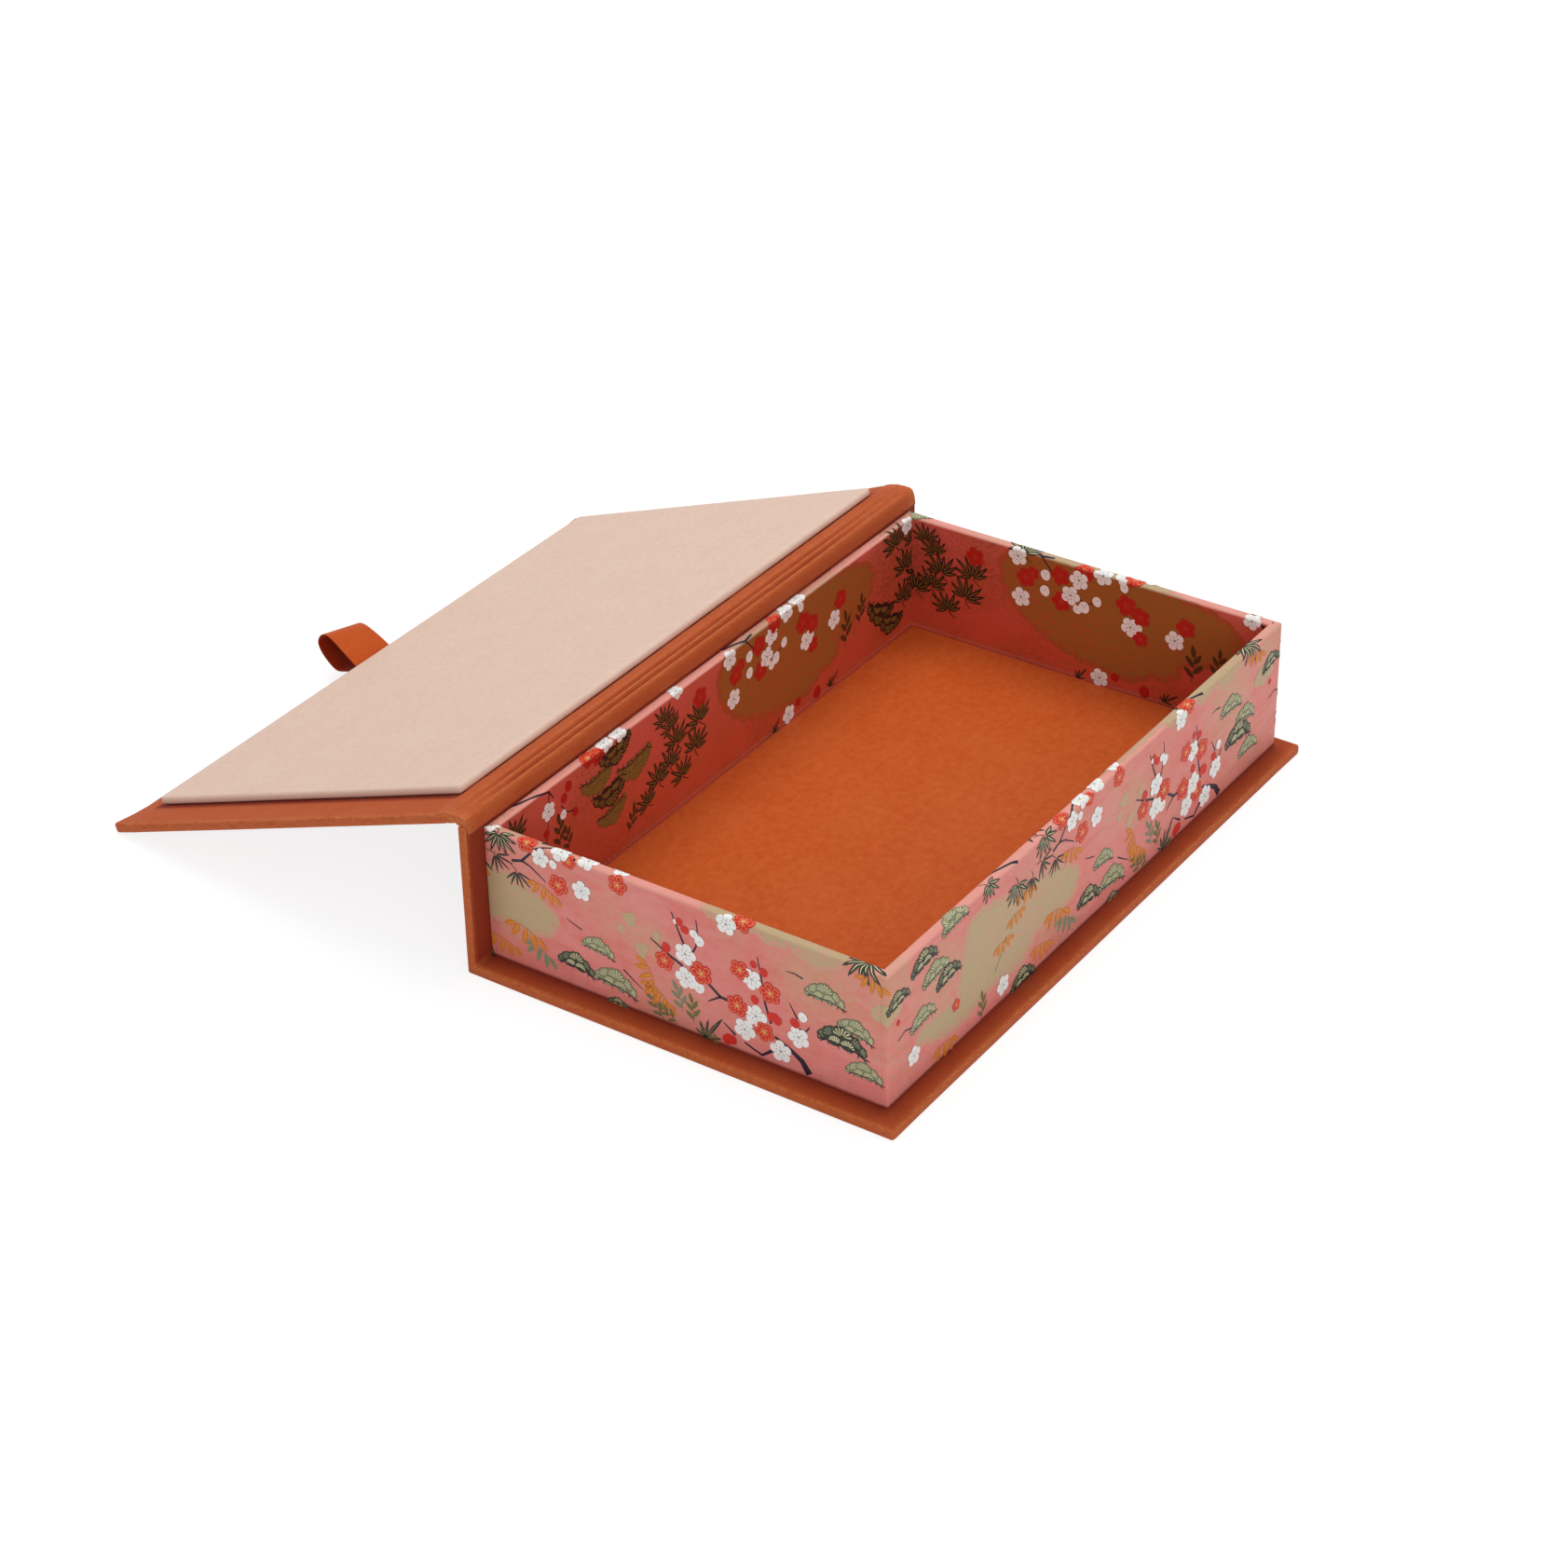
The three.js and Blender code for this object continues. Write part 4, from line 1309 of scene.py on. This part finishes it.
def drawBamboo(bm, kind):
    leaves = ((-172, 4.6), (-150, 6.0), (-128, 6.6), (-104, 5.4), (-82, 6.4), (-56, 6.8), (-30, 5.6),
              (-6, 4.2))
    faint = kind == "faint"
    for count, (angle, length) in enumerate(leaves[1:7] if faint else leaves):
        a = math.radians(angle)
        root = polar(a, 0.5)
        lift = 0.004 * (count % 2)
        addLeaf(bm, "pineDark", lift, root, a, length, 0.9 if faint else 1.45, 0.5)
        if not faint:
            addLeaf(bm, "needle", lift + 0.002, polar(a, 0.5, root), a, length * 0.7, 0.34, 0.3)
    addStroke(bm, "pineDark", 0.01, [(-2.2, 2.4), (-0.8, 1.2), (0, -0.2)], 0.2, 0.3)


def drawLeaves(bm, ink):
    # long pointed leaves that droop from a twig
    addStroke(bm, ink, 0.0, [(-3.6, 1.1), (-1.6, 1.0), (0.8, 0.4), (3.0, -0.8)], 0.2, 0.3)
    leaves = ((-3.4, 1.1, -152, 3.6), (-2.3, 1.1, -114, 4.6), (-0.2, 0.8, -94, 5.0), (1.6, 0.1, -72, 4.8),
              (3.0, -0.8, -34, 4.0))
    for x, y, angle, length in leaves:
        a = math.radians(angle)
        addLeaf(bm, ink, 0.004, (x, y), a, length * 1.1, 2.2, -0.3)
        vein = [polar(a, 0.4, (x, y)), polar(a, length * 0.7, (x, y))]
        addStroke(bm, "goldLine" if ink == "orange" else "pineDark", 0.008, vein, 0.12, 0.06)


def drawSprig(bm, ink):
    # an upright stem with leaves in pairs
    addStroke(bm, ink, 0.0, [(0, -0.6), (0.5, 2.4), (0.4, 6.0)], 0.22, 0.12)
    leaves = ((0.6, 134, 3.6), (1.8, 46, 3.8), (3.4, 126, 3.6), (4.4, 54, 3.6), (6.0, 96, 3.6))
    for y, angle, length in leaves:
        a, root = math.radians(angle), (0.45, y)
        addLeaf(bm, ink, 0.003, root, a, length, 1.7, 0.2)
        addStroke(bm, "pineDark", 0.006, [root, polar(a, length * 0.8, root)], 0.1, 0.05)


def drawBlades(bm, ink):
    blades = ((112, 5.2, 1.2), (58, 10.0, 1.4), (84, 6.4, 1.1), (22, 5.4, 1.0), (150, 3.8, 0.9))
    for angle, length, wide in blades:
        a = math.radians(angle)
        addLeaf(bm, ink, 0.0, (0, 0), a, length, wide, -0.4)
        addStroke(bm, "needle", 0.006, [polar(a, 1.0), polar(a, length * 0.7)], 0.08, 0.06)


stamps = {
    "white": stamp(drawWhiteBlossom),
    "red": stamp(drawRedBlossom),
    "whiteBud": stamp(drawBud, "white"),
    "redBud": stamp(drawBud, "red"),
    "sideRed": stamp(drawSideBlossom),
    "darkPine": stamp(drawPine, "dark"),
    "sagePine": stamp(drawPine, "sage"),
    "bamboo": stamp(drawBamboo, "dark"),
    "faintBamboo": stamp(drawBamboo, "faint"),
    "orangeLeaves": stamp(drawLeaves, "orange"),
    "sageLeaves": stamp(drawLeaves, "sage"),
    "oliveSprig": stamp(drawSprig, "olive"),
    "sageSprig": stamp(drawSprig, "sage"),
    "blades": stamp(drawBlades, "pineDark"),
}
stampLayer = {"white": "blossom", "red": "blossom", "whiteBud": "blossom", "redBud": "blossom",
              "sideRed": "blossom", "darkPine": "pine", "sagePine": "pine"}

# one repeat of the print along the outside of the tray: along and up in mm, then size and turn where
# they aren't 1 and 0
outsidePrint = {
    "white": [
        (18.5, 37.5, 0.9, 10), (24.5, 41.5, 0.95, 40), (33, 42, 0.95, 5), (43, 43.5, 0.9, 30),
        (31.5, 32, 0.95, 20), (64, 24.5, 1.05), (64, 17, 1.05, 33), (77, 38.5, 1.0, 12),
        (84.5, 24.5, 1.0, 50), (85.5, 13.5, 1.1, 8), (82, 8, 1.05, 60), (93, 5.5, 1.05, 25),
        (98.5, 12, 1.05, 45), (137, 9.5, 0.9, 15), (180, 5.5, 0.95, 35),
    ],
    "red": [
        (14, 40.5, 0.95, 20), (43.2, 38, 0.95), (24, 31, 1.0, 50), (57.3, 20, 0.95, 15),
        (68.8, 20.3, 1.1, 40), (81.7, 41, 1.05, 5), (80.8, 26, 0.95, 62), (90, 22.3, 1.05, 30),
        (79.8, 14.6, 1.05, 10), (88, 9.6, 0.95, 48), (27.7, 39.5, 0.7), (157, 13, 0.6, 20),
    ],
    "redBud": [
        (62.4, 33.8, 0.8, 20), (64.1, 32, 0.9, 70), (58, 24.3), (85.1, 29.3, 0.75), (88.2, 28, 0.9, 30),
        (85.3, 18.5, 0.9, 10), (97.4, 16, 1.0, 40), (129.8, 24, 0.6),
    ],
    "whiteBud": [
        (22.7, 37, 0.9, 20), (68.6, 30.2, 1.1), (66.9, 31.8, 0.9, 60), (68, 15.8, 1.3, 15), (99.9, 18.8),
        (61.2, 33.5, 0.5),
    ],
    "sideRed": [(91, 14, 1.0, -15), (77.5, 2, 1.0, 20)],
    "sagePine": [
        (36, 16.2, 0.8, -4), (41.2, 7.4, 1.05, -6), (106.4, 28.2, 0.92), (115.6, 21.0, 0.85, -8),
        (118, 9.0, 0.85, 2), (147, 29.5, 0.95, 8), (141, 19, 0.9, 8), (156, 40, 0.95, 8),
    ],
    "darkPine": [
        (28.5, 8.4, 0.92, -4), (41.7, 0.2, 0.6), (111.5, 16.4, 1.15, -2), (129.5, 31, 0.8, 12),
        (141.5, 36, 0.95, 10), (153, 25, 0.9, 10), (190, 2, 0.95, 6),
    ],
    "bamboo": [(5, 40.5, 1.0, 10), (118, 43.5, 1.15), (187, 33, 1.0, -15), (173, 41, 0.8, 12)],
    "faintBamboo": [(3.5, 33.5, 0.85, 40), (10.5, 30.5, 0.8, 10), (194.5, 31, 0.8, -20)],
    "orangeLeaves": [
        (19.5, 28, 0.85, -6), (12.5, 12.5, 1.05, -4), (4.5, 6.5, 0.9), (52.5, 13.5, 0.9, -52),
        (55.5, 8.5, 0.95, -20), (121, 37.5, 0.8), (191, 29, 0.9), (180, 19, 0.75, 15), (152, 4, 0.9, 10),
        (186, 24, 0.7, 20),
    ],
    "sageLeaves": [(17, 7.8, 0.9, -12)],
    "sageSprig": [(62.4, 6.4, 0.95, 18)],
    "oliveSprig": [
        (65.8, 4.2, 0.9, 6), (60.5, 1.6, 0.8, 60), (56, 1.5, 0.9, 40), (169.5, 1.5, 0.9),
        (74, 0.5, 0.6, 70),
    ],
    "blades": [(69.5, 0.3)],
}
outsideBranches = [
    # points, then width at each end
    ([(21.7, 42), (16.9, 39.5), (12.3, 34.4), (9, 33.3)], 0.5, 0.9),
    ([(12.3, 34.4), (15, 33.6), (20, 30.4)], 0.7, 0.3),
    ([(60, 36), (62, 31), (64.2, 26)], 0.3, 0.8),
    ([(53, 25.4), (57.4, 23), (63, 20.4)], 0.35, 0.8),
    ([(67.6, 36.2), (68, 33.5), (67.4, 28), (66.4, 26)], 0.25, 0.6),
    ([(70.8, 18), (74.6, 15.2), (77, 15)], 0.8, 1.0),
    ([(74.6, 15.2), (70.7, 12.4)], 0.7, 0.3),
    ([(86.3, 32), (87.4, 26), (88.4, 18.5), (90.1, 12.9)], 0.3, 0.8),
    ([(75.3, 7.6), (79, 5)], 0.3, 0.8),
    ([(81.7, 3.8), (87.1, 1.9), (91.1, 5.2)], 0.5, 1.0),
    ([(91.2, 9.3), (96.1, 7), (99.4, 4.9), (101.6, 1.6)], 0.8, 2.2),
    ([(95.8, 21.6), (98.2, 17.5)], 0.25, 0.6),
    ([(98, 14.8), (100.4, 14.2), (101.8, 16.3)], 0.8, 0.4),
    ([(100, 30.6), (97.5, 31.2), (95, 31)], 0.5, 0.2),
    ([(129.7, 18.4), (133, 19.6), (136, 18.6)], 0.3, 0.5),
    ([(176, 12), (179, 16), (181.5, 20)], 0.2, 0.3),
    ([(31, 19.6), (28, 20.6), (26, 21.6)], 0.4, 0.2),
    ([(44, 12), (47.4, 9.6), (50, 8)], 0.5, 0.2),
]
outsideClouds = [
    [(70, 41.2), (78, 40.6), (85.6, 41), (91.3, 39), (96.2, 40.6), (103.8, 36.9), (109, 39.4), (112, 41.8),
     (104, 43.2), (90, 43.2), (76, 43.2)],
    [(139, 13.3), (148, 14), (158.4, 12.8), (160, 19), (162, 27), (165, 33.4), (174, 32.6), (185.9, 29),
     (196, 28), (204, 26.5), (211, 23.5), (216.5, 19.5), (215, 15.6), (209, 13.8), (203, 15), (196, 14),
     (188.4, 8.6), (175.5, 10), (161, 7.4), (150, 9)],
    [(46, 30.5), (48.4, 29.6), (47.4, 27.4), (45, 28)],
    [(50, 22.6), (51.6, 21.4), (50.4, 18.6), (48.6, 20)],
    [(54.5, 28), (56, 26.8), (54.8, 25.6)],
    [(43.4, 26.2), (45, 25), (43.4, 24)],
    [(121, 30), (127, 31.4), (131, 29), (129, 26.8), (124, 26), (121, 27.4)],
]
# the same print where it has gone over the rim, as seen inside: it is upside-down there
insidePrint = {
    "white": [
        (20.5, 34.2, 0.9), (47.3, 42, 0.95), (53.4, 42, 0.95), (105, 38.9), (125.7, 36.8),
        (123, 31, 1.0, 30), (133.6, 40.6), (140.4, 42.4, 1.0, 10), (157.8, 26.5), (143.2, 26.5, 1.0, 20),
        (106.3, 25.5), (133.5, 6.5, 0.95),
    ],
    "whiteBud": [
        (26.7, 29.9), (114.4, 35.3, 1.2), (114.3, 30, 1.2), (140.7, 38.7), (131.8, 31.5, 1.1),
        (127.6, 28.4, 1.3), (146, 27, 0.8), (125.3, 27, 1.0, 40),
    ],
    "red": [
        (39, 41, 0.9), (42.8, 40, 0.9), (90.3, 34.2), (107.8, 32.5), (119.4, 36.5), (119.9, 28),
        (127.4, 40), (141.6, 33.2, 1.1), (146.4, 30.7), (146.6, 23.6, 0.8), (161.2, 31.6),
        (110.1, 34.6, 0.7),
    ],
    "redBud": [
        (29.6, 37.3, 1.1), (27.4, 34.7), (31.9, 28.1, 0.9), (19.2, 27.8, 0.9), (148.5, 6.5, 1.3),
        (138.6, 8.2),
    ],
    "darkPine": [(51, 37, 1.15, 12), (48, 25.6, 1.2, 10), (182.5, 17, 1.2, -20), (188, 11, 1.1, -16)],
    "sagePine": [(42.5, 32, 1.1, 8), (59.5, 28.4, 1.2, 10), (48.5, 18.6, 1.0, 14)],
    "bamboo": [
        (73, 34.5, 0.9), (76.5, 31, 0.9, 20), (78.5, 25, 1.1), (75, 19.6, 1.0, -10), (89.5, 26.6, 1.1, 10),
        (87, 19, 1.1, -15), (81, 13, 1.0, 15), (69.6, 17, 1.1), (64.3, 12.6, 0.9, 20), (196.4, 25, 1.2),
        (191, 35, 1.2, 12), (195, 15, 1.1, -20), (201, 33, 1.1), (203, 20, 1.1, 15),
    ],
    "oliveSprig": [
        (24.5, 21, 1.1, 180), (28.4, 18, 0.9, 190), (55.4, 9, 0.9, 160), (163.7, 15.5, 1.2, 180),
        (171, 19, 1.0, 170),
    ],
    "blades": [(126.3, 4, 0.5, 180), (155, 5, 0.6, 160)],
}
insideBranches = [
    ([(8, 44), (10, 43), (15, 41.6), (21.3, 39.9), (23, 37.1)], 0.9, 0.4),
    ([(21.3, 39.9), (20.8, 36.6)], 0.4, 0.3),
    ([(20.3, 31), (19.4, 27), (18.4, 21)], 0.3, 0.2),
    ([(26, 33), (29, 29.4), (33, 28.6)], 0.3, 0.4),
    ([(105, 43.5), (108.4, 42.6), (113, 41), (117, 41.6)], 0.9, 0.7),
    ([(113, 41), (116, 37.6), (119, 33)], 0.5, 0.3),
    ([(124, 33), (127.5, 29.5), (131, 30.6)], 0.4, 0.3),
]
insideClouds = [
    [(112, 40.4), (104, 39), (100.6, 34), (103, 26), (110, 19), (120, 14), (132, 11), (143, 10), (150, 13.4),
     (157, 14.6), (160, 20), (168, 22.4), (175.6, 27), (177.4, 32.6), (171, 37), (160, 39), (148, 40.4),
     (130, 40.6)],
]
# single blossoms that lie over a corner of the rim: motif, along, up, size, turn
cornerPrint = {
    "near": [("white", 1.2, 42.6, 0.95, 10)],
    "back": [("white", 5.6, 44.6, 0.9, 0), ("white", 123, 42.6, 0.8, 10)],
}
insideStart = {"back": 203.0, "far": 190.0, "front": 265.0, "near": 330.0}
outsideStart = {"near": 0.0, "front": 125.0, "far": 230.4, "back": 456.0}
# the inside print stays below this where the outside's covers the rim
rimInside = {"front": 38.0, "near": 38.0}
insideTop = 84.0  # run up the sheet at which the inside's heights are counted down
anyHeight = 99.0
printMargin = 9.0  # how far past the sheet's end a motif can start and still reach it


def printStamp(bm, name, chance, u, t, size=1.0, turn=0):
    before = len(bm.verts)
    bm.from_mesh(stamps[name])
    bm.verts.ensure_lookup_table()
    lift = inkLift[stampLayer.get(name, "leaf")] + chance.uniform(0, inkLift["scatter"])
    place = (Matrix.Translation((u, t, lift)) @ Matrix.Rotation(math.radians(turn), 4, "Z")
             @ Matrix.Diagonal((size, size, 1, 1)))
    bmesh.ops.transform(bm, matrix=place, verts=bm.verts[before:])


cloudShape = {
    "steps": 12,
    "lobeWidth": 5.5,
    "puff": 0.8,
    "mistReach": 1.8,
    "mistFrom": 6,  # only clouds of more points than this have mist round them
}


def printCloud(bm, points, ink, lift, grow=0.0):
    look = cloudShape
    ring, length = curveThrough([*points, points[0]], look["steps"] * len(points))
    lobes = max(3, round(length / look["lobeWidth"]))
    turns = sum(a.x * b.y - b.x * a.y for a, b in zip(ring, ring[1:]))
    made = []
    for k in range(len(ring) - 1):
        way = (ring[k + 1] - ring[k - 1 if k else -2]).normalized()
        out = Vector((way.y, -way.x)) * (1 if turns > 0 else -1)
        puff = look["puff"] * abs(math.sin(math.pi * lobes * k / (len(ring) - 1)))
        spot = ring[k] + out * (puff + grow)
        made.append(bm.verts.new((spot.x, spot.y, lift)))
    inkFaces([bm.faces.new(made)], ink)


def printWall(bm, name):
    chance = random.Random(sum(map(ord, name)))
    length = walls[name][3]

    def reaches(line):
        runs = [x for x, _ in line]
        return max(runs) > -printMargin and min(runs) < length + printMargin
    layouts = [
        (insidePrint, insideBranches, insideClouds, lambda p: (insideStart[name] - p[0], insideTop - p[1]),
         rimInside.get(name, anyHeight), inkLift["inside"]),
    ]
    if name != "back":  # its outer face is glued to the spine
        layouts.append((outsidePrint, outsideBranches, outsideClouds,
                        lambda p: (p[0] - outsideStart[name], p[1]), anyHeight, 0.0))
    for prints, branches, clouds, place, highest, over in layouts:
        for k in range(-1, 4):
            def spread(points):
                return [place((u + printRepeat * k, t)) for u, t in points]
            for motif, spots in prints.items():
                for u, t, *sizeAndTurn in spots:
                    line = spread([(u, t)])
                    if reaches(line) and t < highest:
                        printStamp(bm, motif, chance, *line[0], *sizeAndTurn)
            for points, start, end in branches:
                line = spread(points)
                if reaches(line):
                    addStroke(bm, "branch", inkLift["branch"], line, start, end)
            for count, points in enumerate(clouds):
                line = spread(points)
                if reaches(line):
                    lift = over + inkLift["step"] * (count + k % 2)
                    if len(points) > cloudShape["mistFrom"]:
                        printCloud(bm, line, "mist", inkLift["mist"] + lift * 0.6, cloudShape["mistReach"])
                    printCloud(bm, line, "cloud", inkLift["cloud"] + lift)
    for motif, *place in cornerPrint.get(name, ()):
        printStamp(bm, motif, chance, *place)


def makeSheet(name):
    look = sheet
    length = walls[name][3] + 2 * look["spare"]
    bm = bmesh.new()
    across = round(length / look["pitch"])
    bmesh.ops.create_grid(bm, x_segments=across, y_segments=8, size=0.5, calc_uvs=False)
    bmesh.ops.translate(bm, verts=bm.verts, vec=(0.5, 0.5, 0))
    bmesh.ops.scale(bm, verts=bm.verts, vec=(length, folds[-1][0], 1))
    bmesh.ops.translate(bm, verts=bm.verts, vec=(-look["spare"], 0, 0))
    trimSheet(bm, name)
    foldSheet(bm, name)
    bm.normal_update()
    bmesh.ops.solidify(bm, geom=bm.faces[:], thickness=look["thickness"] * mm)
    printed = bmesh.new()
    printWall(printed, name)
    trimSheet(printed, name)
    foldSheet(printed, name)
    mesh = bpy.data.meshes.new("printed")
    printed.to_mesh(mesh)
    printed.free()
    bm.from_mesh(mesh)
    bpy.data.meshes.remove(mesh)
    makePiece(f"{name}_wall_paper", bm, [printedPaper, *inks.values()], "case", (f"{name}_paper",))


for wallName in walls:
    makeSheet(wallName)
print("tray is papered")


# carried-over CAD parts

finishes = {
    "greyboard": greyBoard,
    "book_cloth": bookCloth,
    "orange_paper": orangePaper,
    "ribbon": pullRibbon,
}
for nodeName, node in frame["nodes"].items():
    for place in node.material_slots:
        wanted = next((m for key, m in finishes.items() if place.material.name.startswith(key)), None)
        if wanted:
            place.material = wanted
